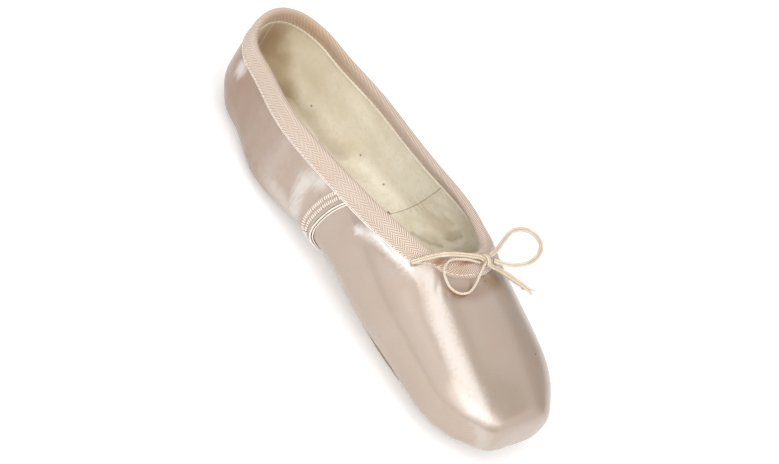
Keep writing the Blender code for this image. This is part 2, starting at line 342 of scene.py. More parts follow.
def closed(loop: Array) -> Array:
    """The loop, with its first point again at its end."""
    return np.concatenate([loop, loop[:1]])


def from_heel(points: Sequence[Point]) -> Array:
    """Points given in millimetres from the heel, as places in metres."""
    return np.array(points, float) * MM - [FORM_HALF, 0.0, 0.0]


def paired(first: Array, second: Array) -> Array:
    """Two numbers for each point of a grid, such as its place on the flat cloth."""
    return np.stack(np.broadcast_arrays(first, second), axis=-1)


def swept(line: Array, side: Array, front: Array, across: Array, deep: Array) -> Array:
    """A grid of rings round a line.

    Args:
        line: The points that the rings are round.
        side: Each ring's first direction.
        front: Each ring's second direction.
        across: How far each point lies along the first direction, as rows by columns.
        deep: How far it lies along the second.

    Returns:
        The places, as rows by columns by 3.
    """
    return line[:, None] + side[:, None] * across[..., None] + front[:, None] * deep[..., None]


def smooth_line(points: Sequence[Sequence[float]], spacing: float) -> Array:
    """A smooth curve through the points, as evenly spaced points.

    Args:
        points: The curve's own points, in metres.
        spacing: About how far apart the result's points are.

    Returns:
        The points, as rows of x, y and z.
    """
    guide = [np.array(point, float) for point in points]
    ends = [2 * guide[0] - guide[1], *guide, 2 * guide[-1] - guide[-2]]
    line = []
    for before, start, end, after in zip(ends, ends[1:], ends[2:], ends[3:]):
        lean_in, lean_out = (end - before) / 2, (after - start) / 2
        for u in np.linspace(0.0, 1.0, 20, endpoint=False):
            swing = (2 * u**3 - 3 * u**2 + 1) * start + (3 * u**2 - 2 * u**3) * end
            line.append(swing + (u**3 - 2 * u**2 + u) * lean_in + (u**3 - u**2) * lean_out)
    line = np.array([*line, guide[-1]])
    return even_line(line, max(round(travelled(line)[-1] / spacing), 4) + 1)


# ---- the last ----


@dataclass
class Skin:
    """One face of the upper's wall, as a smooth surface.

    Attributes:
        tree: The surface, for rays and nearest points.
        collar: Its edge at the collar, from the heel's back along the right side and round.
        ends: For each side, the edge's lengths along the shoe and its angle at each.
    """

    tree: BVHTree
    collar: Array
    ends: dict[Side, tuple[Array, Array]] = field(default_factory=dict)

    def near(self, places: Array) -> tuple[Array, Array]:
        """The nearest points of the skin to these places, and the normals there.

        Args:
            places: The places, as an array whose last axis is x, y and z.

        Returns:
            The points and the normals, each as such an array.
        """
        found = [self.tree.find_nearest(Vector(place))[:2] for place in places.reshape(-1, 3)]
        spots, normals = (np.array([tuple(vector) for vector in column]) for column in zip(*found))
        return spots.reshape(places.shape), normals.reshape(places.shape)


class Last:
    """The form under the satin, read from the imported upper: its two skins and its sections."""

    HEEL_CENTRE = 26.0 * MM
    TOE_CENTRE = 222.0 * MM
    TOE_TURN = 24.0 * MM
    MIDDLE_HIGH = 21.0 * MM
    TOE_HIGH = 18.6 * MM
    THROAT = 166.0 * MM
    BACK = HEEL_CENTRE * (1 - math.pi / 2)
    END = TOE_CENTRE + TOE_TURN * math.pi / 2

    def __init__(self) -> None:
        """Reads the frame and makes both skins."""
        self.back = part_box("upper")[0].x
        self.outer, self.inner = self.skins()
        self.sole, self.board = self.tree_of("outsole"), self.tree_of("insole")
        for skin in (self.outer, self.inner):
            skin.ends = {side: self.collar_angles(skin, side) for side in Side}

    @staticmethod
    def tree_of(node: str) -> BVHTree:
        """A CAD node's own surface, for rays."""
        return BVHTree.FromObject(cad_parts[node], bpy.context.evaluated_depsgraph_get())

    @staticmethod
    def edge_loop(obj: Piece) -> Array:
        """The highest open edge of a surface, as a closed line of points in order.

        Args:
            obj: The surface.

        Returns:
            The line, without its first point again at its end.
        """
        counts: dict[tuple[int, int], int] = {}
        for polygon in obj.data.polygons:
            for key in polygon.edge_keys:
                counts[key] = counts.get(key, 0) + 1
        nexts: dict[int, list[int]] = {}
        for (a, b), uses in counts.items():
            if uses == 1:
                nexts.setdefault(a, []).append(b)
                nexts.setdefault(b, []).append(a)
        loops = []
        left = set(nexts)
        while left:
            loop = [left.pop()]
            while True:
                onward = [n for n in nexts[loop[-1]] if n in left]
                if not onward:
                    break
                left.discard(onward[0])
                loop.append(onward[0])
            loops.append(loop)
        points = points_of(obj)
        return max((points[loop] for loop in loops), key=lambda line: line[:, 2].mean())

    def skins(self) -> tuple[Skin, Skin]:
        """The outer and the inner skin, cut apart along the wall's rims and made smooth.

        Returns:
            The outer skin and the inner one.
        """
        parts = Bench.cut_apart("upper", 58.0)
        parts.sort(key=lambda part: len(part.data.polygons), reverse=True)
        LOG.info("the wall came apart into %s faces", [len(part.data.polygons) for part in parts])
        skins = []
        for part in sorted(parts[:2], key=lambda part: part.dimensions.x, reverse=True):
            Bench.finish(part, "SUBSURF", levels=3, render_levels=3)
            tree = BVHTree.FromObject(part, bpy.context.evaluated_depsgraph_get())
            loop = self.edge_loop(part)
            loop = np.roll(loop, -int(np.argmin(loop[:, 0])), axis=0)
            if loop[len(loop) // 8, 1] > 0:
                loop = np.roll(loop[::-1], 1, axis=0)
            skins.append(Skin(tree, loop))
        Bench.discard(*parts)
        return skins[0], skins[1]

    def section(self, side: Side, along: float) -> tuple[Vector, Vector]:
        """The middle point and the outward direction of the section at a length along the shoe.

        Args:
            side: The side of the shoe.
            along: The length along the shoe.

        Returns:
            The point and the direction.
        """
        if along < self.HEEL_CENTRE:
            turn = 1 - along / self.HEEL_CENTRE
            middle = Vector((self.back + self.HEEL_CENTRE, 0.0, self.MIDDLE_HIGH))
            return middle, Vector((-math.sin(turn), side.value * math.cos(turn), 0.0))
        along = min(along, self.TOE_CENTRE)
        share = (along - self.HEEL_CENTRE) / (self.TOE_CENTRE - self.HEEL_CENTRE)
        high = self.MIDDLE_HIGH + (self.TOE_HIGH - self.MIDDLE_HIGH) * share
        return Vector((self.back + along, 0.0, high)), Vector((0.0, float(side.value), 0.0))

    def hit(self, skin: Skin, side: Side, along: float, angle: float) -> Array:
        """The skin's point at a length along the shoe, at an angle from straight down.

        Args:
            skin: The outer or inner skin.
            side: The side of the shoe.
            along: The length along the shoe, which goes on round the heel and over the toe.
            angle: The angle about the section's middle, 0 straight down and pi straight up.

        Returns:
            The point.
        """
        middle, outward = self.section(side, along)
        direction = outward * math.sin(angle) + DOWN * math.cos(angle)
        if along > self.TOE_CENTRE:
            tip = min((along - self.TOE_CENTRE) / self.TOE_TURN, math.pi / 2)
            direction = direction * math.cos(tip) + Vector((math.sin(tip), 0.0, 0.0))
        place, _, _, _ = skin.tree.ray_cast(middle, direction)
        if place is None:
            place, _, _, _ = skin.tree.find_nearest(middle + direction * 25 * MM)
        return np.array(place)

    def line(self, skin: Skin, side: Side, alongs: Any, angles: Any) -> Array:
        """The skin's points at these lengths along the shoe and these angles."""
        return np.array([self.hit(skin, side, *spot) for spot in np.broadcast(alongs, angles)])

    def along_of(self, points: Array) -> Array:
        """How far along the shoe points at its side lie.

        Args:
            points: The points.

        Returns:
            Their lengths along the shoe.
        """
        x = points[..., 0] - self.back
        turn = np.arctan2(self.HEEL_CENTRE - x, np.abs(points[..., 1]))
        return np.where(x >= self.HEEL_CENTRE, x, self.HEEL_CENTRE * (1 - turn))

    def collar_angles(self, skin: Skin, side: Side) -> tuple[Array, Array]:
        """The angle of the collar's edge against the length along the shoe.

        Args:
            skin: The skin whose edge it is.
            side: The side of the shoe.

        Returns:
            The lengths, in rising order, and the angle at each.
        """
        points = skin.collar[skin.collar[:, 1] * side.value >= -1e-7]
        points = points[np.argsort(self.along_of(points))]
        along = self.along_of(points)
        share = np.clip((along - self.HEEL_CENTRE) / (self.TOE_CENTRE - self.HEEL_CENTRE), 0, 1)
        middle = self.MIDDLE_HIGH + (self.TOE_HIGH - self.MIDDLE_HIGH) * share
        behind = np.minimum(points[:, 0] - self.back - self.HEEL_CENTRE, 0.0)
        return along, np.arctan2(np.hypot(behind, points[:, 1]), middle - points[:, 2])

    def top_angle(self, skin: Skin, side: Side, along: float) -> float:
        """The angle at which a section ends: at the collar, or at the top where it is closed."""
        lengths, angles = skin.ends[side]
        return math.pi if along >= lengths[-1] else float(np.interp(along, lengths, angles))

    def start_angle(self, skin: Skin, side: Side, along: float) -> float:
        """The angle at which a sheet starts: between sole and board outside, on the sock inside.

        Args:
            skin: The outer or inner skin.
            side: The side of the shoe.
            along: The length along the shoe.

        Returns:
            The angle about the section's middle, from straight down.
        """
        middle, outward = self.section(side, along)
        if skin is self.outer:
            plate, level, hem, end = self.sole, self.sole_low(middle.x) + 2.8 * MM, 4 * MM, self.TOE_CENTRE
            probe = level - 1 * MM
        else:
            plate, level, hem, end = self.board, self.board_high(middle.x), 1 * MM, 221 * MM
            probe = level - 0.4 * MM
        place, _, _, far = plate.ray_cast(Vector((middle.x, middle.y, probe)), outward)
        reach = max(far - hem, 0.0) if place is not None and along <= end else 0.0
        return math.atan2(reach, middle.z - level)

    def sole_low(self, x: float) -> float:
        """The height of the sole's underside at x, on the middle line."""
        place, _, _, _ = self.sole.ray_cast(Vector((x, 0.0, -0.05)), UP)
        return place.z if place is not None else self.hit(self.outer, Side.LEFT, x - self.back, 0.0)[2]

    def board_high(self, x: float) -> float:
        """The height of the board's upper face at x."""
        place, _, _, _ = self.board.ray_cast(Vector((x, 0.0, 0.2)), DOWN)
        return place.z if place is not None else 12 * MM

    def laid(
        self,
        skin: Skin,
        side: Side,
        rows: Sequence[Point],
        counts: tuple[int, int],
        slant: Callable[[float, Array], Array] | None = None,
    ) -> tuple[Array, Array]:
        """A half of a sheet laid smoothly on the form.

        Args:
            skin: The outer skin, for a sheet from the hem, or the inner, for one from the sock.
            side: The side of the shoe.
            rows: Each row's foot and top, as lengths along the shoe, and the top's angle.
            counts: The points found in a row, and the points that are kept.
            slant: How far a row's points shift along the shoe at a height, or None.

        Returns:
            The places and their normals.
        """
        grid = []
        for foot, top, high in rows:
            angles = np.linspace(self.start_angle(skin, side, foot), high, counts[0])
            alongs = np.linspace(foot, top, counts[0])
            line = self.line(skin, side, alongs, angles)
            if slant is not None:
                line = self.line(skin, side, alongs + slant(foot, line[:, 2]), angles)
            grid.append(even_line(line, counts[1]))
        return skin.near(relaxed(np.array(grid), 4))

    def rows(self, skin: Skin, side: Side, start: float, counts: tuple[int, int]) -> list[Point]:
        """Rows spread evenly both along the hem and along the collar and the middle line.

        Args:
            skin: The outer or inner skin.
            side: The side of the shoe.
            start: The length along the shoe where the rows start.
            counts: How many rows end at the collar, and how many at the middle line.

        Returns:
            For each row, the length along the shoe of its foot and of its top, and the top's angle.
        """
        lengths, angles = skin.ends[side]
        ahead = lengths > start
        alongs = np.concatenate([[start], lengths[ahead]])
        tops = np.concatenate([[np.interp(start, lengths, angles)], angles[ahead]])
        alongs[-1], tops[-1] = self.THROAT, math.pi
        far = travelled(self.line(skin, side, alongs, tops))
        spread = np.linspace(0.0, far[-1], counts[0] + 1)
        middle = np.linspace(self.THROAT, self.TOE_CENTRE, counts[1] + 1)[1:]
        top_alongs = np.concatenate([np.interp(spread, far, alongs), middle])
        top_angles = np.concatenate([np.interp(spread, far, tops), np.full(counts[1], math.pi)])
        feet = np.linspace(start, self.TOE_CENTRE, len(top_alongs))
        return list(zip(feet, top_alongs, top_angles))


# ---- finishes ----


class Field:
    """A node's output that takes part in sums, as a number does."""

    def __init__(self, board: "Board", socket: bpy.types.NodeSocket) -> None:
        """Wraps one output of a node on the board."""
        self.board, self.socket = board, socket

    def __add__(self, other: Any) -> "Field":
        """The sum."""
        return self.board.maths("ADD", self, other)

    def __sub__(self, other: Any) -> "Field":
        """The difference."""
        return self.board.maths("SUBTRACT", self, other)

    def __rsub__(self, other: Any) -> "Field":
        """The difference, with the number first."""
        return self.board.maths("SUBTRACT", other, self)

    def __mul__(self, other: Any) -> "Field":
        """The product."""
        return self.board.maths("MULTIPLY", self, other)

    def __truediv__(self, other: Any) -> "Field":
        """The quotient."""
        return self.board.maths("DIVIDE", self, other)

    __radd__ = __add__
    __rmul__ = __mul__

    def wave(self) -> "Field":
        """A sine of this field in turns, from 0 to 1."""
        return self.board.maths("SINE", self * math.tau) * 0.5 + 0.5

    def zigzag(self, width: float) -> "Field":
        """A straight zigzag from 0 to the width and back, over twice the width."""
        return self.board.maths("PINGPONG", self, width)

    def rise(self, start: float, end: float) -> "Field":
        """A smooth step from 0 at start to 1 at end.

        Args:
            start: Where it starts.
            end: Where it ends.

        Returns:
            The field.
        """
        settings = {"interpolation_type": "SMOOTHSTEP"}
        inputs = {"Value": self, "From Min": start, "From Max": end}
        return self.board.add("MapRange", settings, inputs)

    def or_less(self, other: Any) -> "Field":
        """The smaller of the two."""
        return self.board.maths("MINIMUM", self, other)

    def or_more(self, other: Any) -> "Field":
        """The greater of the two."""
        return self.board.maths("MAXIMUM", self, other)


class Board:
    """The nodes of one finish."""

    def __init__(self, name: str) -> None:
        """Starts an empty board for a material of this name.

        Args:
            name: The material's name.
        """
        self.material = bpy.data.materials.new(name)
        self.material.use_nodes = True
        self.tree = self.material.node_tree
        self.tree.nodes.clear()

    def node(self, kind: str, settings: dict[str, Any], inputs: dict[Any, Any]) -> bpy.types.Node:
        """Adds a node.

        Args:
            kind: The node's type, without its first part.
            settings: What is set on the node itself, before its sockets.
            inputs: A number, colour or field for each named or numbered socket.

        Returns:
            The node.
        """
        node = self.tree.nodes.new("ShaderNode" + kind)
        for name, value in settings.items():
            setattr(node, name, value)
        for name, value in inputs.items():
            if isinstance(value, Field):
                self.tree.links.new(value.socket, node.inputs[name])
            else:
                node.inputs[name].default_value = value
        return node

    def add(
        self, kind: str, settings: dict[str, Any], inputs: dict[Any, Any], output: Any = 0
    ) -> Field:
        """Adds a node and gives one of its outputs as a field."""
        return Field(self, self.node(kind, settings, inputs).outputs[output])

    def maths(self, operation: str, *terms: Any) -> Field:
        """A Math node over one or two terms."""
        return self.add("Math", {"operation": operation}, dict(enumerate(terms)))

    def vector(self, operation: str, inputs: dict[Any, Any], output: Any = 0) -> Field:
        """A Vector Math node."""
        return self.add("VectorMath", {"operation": operation}, inputs, output)

    def place(self, stretch: Point = (1, 1, 1), turn: float = 0.0, source: str = "Object") -> Field:
        """A place in the shoe's own space, in metres, stretched and turned about z."""
        spot = self.add("TexCoord", {}, {}, source)
        return self.add("Mapping", {}, {"Vector": spot, "Scale": stretch, "Rotation": (0, 0, turn)})

    def cloth(self, stretch: Point = (1, 1, 1), turn: float = 0.0) -> Field:
        """A place on the flat cloth, in metres, stretched and turned."""
        return self.place(stretch, turn, "UV")

    def part(self, spot: Field, axis: str) -> Field:
        """One of a place's three numbers."""
        return self.add("SeparateXYZ", {}, {0: spot}, axis)

    def noise(self, spot: Field, scale: float, detail: float = 2.0, rough: float = 0.5) -> Field:
        """Soft cloudy noise, about 0 to 1."""
        inputs = {"Vector": spot, "Scale": scale, "Detail": detail, "Roughness": rough}
        return self.add("TexNoise", {}, inputs)

    def cells(self, spot: Field, scale: float) -> Field:
        """The distance to the nearest of many scattered points."""
        return self.add("TexVoronoi", {}, {"Vector": spot, "Scale": scale}, "Distance")

    def mix(self, share: Any, first: Any, second: Any) -> Field:
        """The first colour, going over to the second.

        Args:
            share: How much of the second colour there is, from 0 to 1.
            first: A colour or a field.
            second: Another.

        Returns:
            The mixed colour.
        """
        first, second = (
            (*colour, 1.0) if isinstance(colour, tuple) else colour for colour in (first, second)
        )
        return self.add("Mix", {"data_type": "RGBA"}, {0: share, 6: first, 7: second}, 2)

    def spots(self, centres: Route, size: float) -> Field:
        """1 on small specks, and 0 elsewhere.

        Args:
            centres: Their middles, in millimetres from the heel.
            size: Their radius, in metres.

        Returns:
            The field.
        """
        spot = self.place()
        specks = []
        for centre in from_heel(centres):
            away = self.vector("DISTANCE", {0: spot, 1: centre}, "Value")
            specks.append(1.0 - away.rise(0.4 * size, size))
        return reduce(Field.or_more, specks)

    def blob(self, centre: Point, size: Point, frayed: Field) -> Field:
        """1 in the middle of an oval region, fading to 0 at its frayed edge.

        Args:
            centre: Its middle, in millimetres from the heel.
            size: Its half sizes, in millimetres.
            frayed: What is added to the distance from the middle, where the edge is at 1.

        Returns:
            The field.
        """
        off = self.vector("SUBTRACT", {0: self.place(), 1: from_heel([centre])[0]})
        off = self.vector("DIVIDE", {0: off, 1: np.array(size) * MM})
        far = self.vector("LENGTH", {0: off}, "Value")
        return 1.0 - (far + frayed).rise(0.15, 1.15)

    def stroke(self, points: Route, width: float, frayed: Any = 0.0) -> Field:
        """1 along a bent line on the shoe, fading to 0 at its width to both sides.

        Args:
            points: Its bends, in millimetres from the heel.
            width: How far it spreads to each side, in millimetres.
            frayed: What is added to the distance from the line, as a share of the width.

        Returns:
            The field.
        """
        gaps = []
        for first, last in pairwise(from_heel(points)):
            way = last - first
            off = self.vector("SUBTRACT", {0: self.place(), 1: first})
            share = self.vector("DOT_PRODUCT", {0: off, 1: way / way.dot(way)}, "Value")
            foot = self.vector("SCALE", {0: way, "Scale": share.or_less(1.0).or_more(0.0)})
            gaps.append(self.vector("DISTANCE", {0: off, 1: foot}, "Value"))
        return 1.0 - (reduce(Field.or_less, gaps) / (width * MM) + frayed).rise(0.1, 1.0)

    def painted(
        self, colour: Field, patches: Sequence[Patch | Stroke], frayed: Field, paint: Colour
    ) -> Field:
        """The colour, with patches and strokes of paint on it.

        Args:
            colour: The colour under them.
            patches: Each one's middle or bends and its size, in millimetres, and its share.
            frayed: What frays their edges.
            paint: The paint's colour.

        Returns:
            The painted colour.
        """
        for spot, size, share in patches:
            region = (self.blob if isinstance(size, tuple) else self.stroke)(spot, size, frayed)
            colour = self.mix(region * share, colour, paint)
        return colour

    def bump(self, height: Field, depth: float, normal: Field | None = None) -> Field:
        """A surface roughened by a height that goes from 0 to the depth, in metres.

        Args:
            height: The height.
            depth: The depth.
            normal: The normal that it is added to, if any.

        Returns:
            The bumped normal.
        """
        inputs = {"Height": height, "Distance": depth, "Strength": 1.0}
        if normal is not None:
            inputs["Normal"] = normal
        return self.add("Bump", {}, inputs)

    def finish(
        self, colour: Field, roughness: Any, normal: Field | None, **constants: float
    ) -> bpy.types.Material:
        """Closes the board with one Principled shader.

        Args:
            colour: The base colour.
            roughness: The roughness.
            normal: The bumped normal, or None.
            **constants: Other sockets of the shader, with _ for each space in the name.

        Returns:
            The finished material.
        """
        inputs = {"Base Color": colour, "Roughness": roughness}
        if normal is not None:
            inputs["Normal"] = normal
        inputs.update({name.replace("_", " "): value for name, value in constants.items()})
        shader = self.add("BsdfPrincipled", {}, inputs)
        self.node("OutputMaterial", {}, {"Surface": shader})
        return self.material


class Finish(Protocol):
    """What a piece can be dressed in."""

    def material(self) -> bpy.types.Material:
        """Makes the finish's material."""


@dataclass(frozen=True)
class Satin:
    """Heavy satin: long floats that shine, over a matt ground, with slubs and a little dirt, and with
    painted highlights and painted shade.

    Attributes:
        specks: Its dark specks, in millimetres from the heel, as the next three are.
        painted_glints: Painted highlights, as small pale ovals.
        painted_bands: Painted highlights, as pale strokes.
        shade: The shaded line under the bow.
    """

    colour: Colour = (0.355, 0.270, 0.205)
    warm: Colour = (0.335, 0.228, 0.160)
    soil_and_shade: Colour = (0.215, 0.10, 0.035)
    highlight_paint: Colour = (0.76, 0.74, 0.71)
    pale: Colour = (0.66, 0.54, 0.45)
    fleck: Colour = (0.12, 0.07, 0.05)
    roughness: float = 0.25
    metal: float = 0.16
    specks: Route = (
        (140, -32.3, 43.2), (177.6, 4.1, 51.6), (212.7, 17.5, 38.9), (175.2, 4.6, 52.6),
    )
    painted_glints: tuple[Patch, ...] = (
        ((97, -32, 37), (7, 9, 5), 0.3),
        ((80, -33, 13), (15, 9, 6), 0.2),
        ((21.5, -26.5, 33), (5, 9, 7), 0.55),
    )
    painted_bands: tuple[Stroke, ...] = (
        (((130.5, -32.8, 41.3), (134, -31.7, 43.8), (139, -31, 45.6), (150, -29.5, 47), (160, -27, 48)),
         3.8, 0.62),
        (((96.3, -34.2, 16), (94.7, -34, 21.3), (92.9, -33.6, 26), (92.5, -33, 31), (94.5, -32, 36),
          (99, -32, 39)), 6.5, 0.45),
        (((73.6, -34.2, 18), (73.2, -33.6, 27), (72.6, -32.7, 36)), 9, 0.1),
        (((80, -34.3, 14), (90.5, -34, 14), (96, -33.7, 14)), 6, 0.25),
        (((226, -25, 28), (231, -23, 25.5), (235.2, -20.8, 20.5), (236.3, -19.1, 13.2)), 5.5, 0.17),
        (
            ((160, -27, 48), (168, -22.5, 49.5), (174, -22, 47.8), (180, -23, 45.5), (188, -24.5, 42.5),
             (200, -25, 39), (211, -24.3, 36), (221, -22.3, 33), (229, -21, 28)),
            6, 0.24,
        ),
    )
    shade: Route = (
        (179, -14, 49.6), (181.8, -5.7, 50.4), (180.5, 2, 51), (178.5, 12, 50.4)
    )

    def material(self) -> bpy.types.Material:
        """Makes the satin's material.

        Returns:
            The material.
        """
        board = Board("satin")
        spot = board.place()
        cloud = board.noise(spot, 38.0, 3.0)
        patch = board.noise(spot, 90.0, 3.0, 0.6)
        streak = board.noise(board.cloth((1300.0, 240.0, 1.0)), 1.0, 2.0)
        weave = (board.part(board.cloth((1.0, 1.0, 1.0), 0.9), "X") / (0.85 * MM)).wave()
        colour = board.mix(cloud.rise(0.35, 0.7) * 0.6, self.colour, self.warm)
        colour = board.mix(weave * 0.08, colour, self.pale)
        # Darker towards the heel and towards the bottom: part dirt, part painted shade.
        far = board.part(spot, "X") + FORM_HALF
        heel = 1.0 - (far + (patch - 0.5) * 40 * MM).rise(18 * MM, 100 * MM)
        low = 1.0 - (board.part(spot, "Z") + (patch - 0.5) * 12 * MM).rise(3 * MM, 16 * MM)
        colour = board.mix(heel * 0.9 + low * 0.2, colour, self.soil_and_shade)
        brush = board.noise(board.place((700.0, 700.0, 110.0)), 1.0, 2.0)
        # Painted highlights: pale ovals and strokes where the satin's shine is painted in.
        painted_highlights = [board.blob(at, size, (brush - 0.5) * 0.6) * share for at, size, share in self.painted_glints]
        painted_highlights += [board.stroke(at, wide, (brush - 0.5) * 0.8) * share for at, wide, share in self.painted_bands]
        # Painted shade under the bow.
        hollow = board.stroke(self.shade, 6.0, (patch - 0.5) * 0.5)
        colour = board.mix(hollow * 0.5, colour, self.soil_and_shade)
        colour = board.mix(reduce(Field.or_more, painted_highlights), colour, self.highlight_paint)
        colour = board.mix(board.spots(self.specks, 0.75 * MM) * 0.85, colour, self.fleck)
        roughness = self.roughness + (cloud - 0.5) * 0.08
        normal = board.bump(streak * 0.8 + weave * 0.2, 0.014 * MM)
        normal = board.bump(patch, 0.14 * MM, normal)
        gloss = {"Specular_IOR_Level": 0.8, "IOR": 1.95, "Sheen_Weight": 0.12, "Sheen_Roughness": 0.4}
        return board.finish(colour, roughness, normal, Metallic=self.metal, **gloss)


@dataclass(frozen=True)
class Twill:
    """Herringbone tape: ribs that lean one way and then the other, matt, with a pale edge.

    Attributes:
        name: The material's name.
        shades: The brown shade along the throat, in millimetres from the heel.
        pitch: How far apart the ribs are.
        column: How wide each lean of the ribs is.
        width: The tape's width.
    """

    name: str = "twill_tape"
    colour: Colour = (0.79, 0.665, 0.57)
    hollow: Colour = (0.34, 0.215, 0.135)
    pale: Colour = (0.86, 0.79, 0.71)
    selvedge: Colour = (1.0, 0.96, 0.90)
    soil_and_shade: Colour = (0.62, 0.42, 0.27)
    shade: Colour = (0.30, 0.14, 0.06)
    shades: tuple[Patch, ...] = (
        ((164.2, -16, 54.4), (2, 6.5, 2.6), 0.9),
        ((168.8, -3, 55.9), (1.5, 7, 1.6), 0.9),
        ((163.5, -24.6, 49.8), (2.8, 2.8, 2.8), 0.6),
        ((171.5, -8, 54), (6, 9, 5.5), 0.4),
    )
    pitch: float = 1.0 * MM
    column: float = 2.3 * MM
    width: float = 20.0 * MM

    def material(self) -> bpy.types.Material:
        """Makes the tape's material.

        Returns:
            The material.
        """
        board = Board(self.name)
        spot = board.cloth()
        along, across = board.part(spot, "X"), board.part(spot, "Y")
        leg = self.column * 4
        lean = across.or_less(leg).zigzag(self.column) * 0.9 + (across - leg).or_more(0.0) * 0.8
        rib = ((along + lean) / self.pitch).wave().rise(0.15, 0.75)
        yarn = board.noise(board.cloth((1800.0, 1800.0, 1.0)), 1.0, 2.0)
        cloud = board.noise(board.place(), 45.0, 3.0)
        tone = rib * 0.85 + yarn * 0.4 - 0.1
        other = self.width - across
        far = board.part(board.place(), "X") + FORM_HALF
        # Darker towards the heel, most on the inner leg.
        towards_heel = 1.0 - far.rise(8 * MM, 85 * MM)
        within = 1.0 - other.rise(9.0 * MM, 11.0 * MM)
        light = board.mix(cloud.rise(0.45, 0.75) * 0.5, self.colour, self.pale)
        light = board.mix(towards_heel * within * 0.75 + towards_heel * 0.12, light, self.soil_and_shade)
        colour = board.mix(tone, self.hollow, light)
        edge = 1.0 - across.or_less(other).rise(1.5 * MM, 1.9 * MM)
        # Painted shade: a darker line along the inner leg, about two millimetres above its lower edge.
        inner = other.rise(1.3 * MM, 1.6 * MM) * (1.0 - other.rise(1.9 * MM, 2.4 * MM))
        edge = edge * (1.0 - far.rise(152 * MM, 162 * MM) * 0.85)
        colour = board.mix(edge, colour, self.selvedge)
        colour = board.mix(inner * 0.45, colour, self.soil_and_shade)
        colour = board.painted(colour, self.shades, (yarn - 0.5) * 0.4, self.shade)
        normal = board.bump(rib * 0.8 + yarn * 0.3, 0.2 * MM)
        return board.finish(
            colour, 0.72 + (yarn - 0.5) * 0.2, normal, Sheen_Weight=0.25, Sheen_Roughness=0.5
        )


@dataclass(frozen=True)
class Canvas:
    """Plain cotton canvas, matt and a little dirty, with painted shade at the heel and in its creases.

    Attributes:
        specks: Its dark specks, in millimetres from the heel, as the next two are.
        shades: The brown shade at the top of the heel.
        creases: The brown shade along the sock and in the creases.
    """

    name: str = "canvas"
    colour: Colour = (0.87, 0.82, 0.69)
    soiled_and_shaded: Colour = (0.69, 0.60, 0.43)
    deep: Colour = (0.30, 0.19, 0.09)
    pale: Colour = (0.95, 0.92, 0.84)
    fleck: Colour = (0.16, 0.10, 0.06)
    specks: Route = (
        (31, 23.7, 9.5), (66.4, 32, 9.7), (87.4, 31.4, 11.4),
    )
    shades: tuple[Patch, ...] = (
        ((2, 2, 34), (9, 13, 24), 0.8),
        ((10, 8, 42), (16, 18, 14), 0.3),
    )
    creases: tuple[Stroke, ...] = (
        (((1, 2, 34), (3, 7, 25), (5, 12, 18), (10, 15, 8), (17, 16.5, 5)), 13, 0.68),
        (((17, 16, 5.5), (42, 21.5, 5), (60, 25, 5.5)), 9, 0.4),
        (((119, 26.8, 12.3), (124.5, 28.7, 13.3), (128.5, 30.3, 14.6), (133.4, 32.9, 17.4)), 1.5, 0.35),
        (((131.5, 34.6, 20.5), (135.2, 34.7, 22.8), (138.3, 34.2, 30.2)), 1.2, 0.24),
        (((137.5, 34.6, 24.5), (140.8, 34.9, 26.3), (143.5, 34, 32.5)), 1, 0.16),
    )

    def material(self) -> bpy.types.Material:
        """Makes the canvas's material.

        Returns:
            The material.
        """
        board = Board(self.name)
        spot = board.place()
        cloud = board.noise(spot, 32.0, 4.0, 0.6)
        patch = board.noise(spot, 110.0, 3.0, 0.6)
        flat = board.cloth()
        warp = (board.part(flat, "X") / (0.55 * MM)).wave()
        weft = (board.part(flat, "Y") / (0.6 * MM)).wave()
        fuzz = board.noise(spot, 2600.0, 2.0)
        colour = board.mix(cloud.rise(0.4, 0.75) * 0.7, self.colour, self.soiled_and_shaded)
        colour = board.mix(patch.rise(0.45, 0.75) * 0.35, colour, self.pale)
        dirt = 1.0 - board.cells(spot, 140.0).rise(0.02, 0.07)
        colour = board.mix(dirt * 0.6, colour, self.soiled_and_shaded)
        # Darker towards the heel inside the shoe: part dirt, part painted shade.
        heel = 1.0 - (board.part(spot, "X") + FORM_HALF + (patch - 0.5) * 40 * MM).rise(8 * MM, 64 * MM)
        colour = board.mix(heel * 0.7, colour, self.soiled_and_shaded)
        mottle = board.noise(spot, 520.0, 3.0, 0.7)
        colour = board.mix(mottle.rise(0.5, 0.7) * 0.35, colour, self.soiled_and_shaded)
        colour = board.painted(colour, self.shades + self.creases, (patch - 0.5) * 0.5, self.deep)
        colour = board.mix(board.spots(self.specks, 0.8 * MM) * 0.8, colour, self.fleck)
        normal = board.bump(warp * 0.35 + weft * 0.35 + fuzz * 0.6, 0.07 * MM)
        normal = board.bump(patch, 0.25 * MM, normal)
        return board.finish(colour, 0.86, normal, Sheen_Weight=0.15, Sheen_Roughness=0.6)


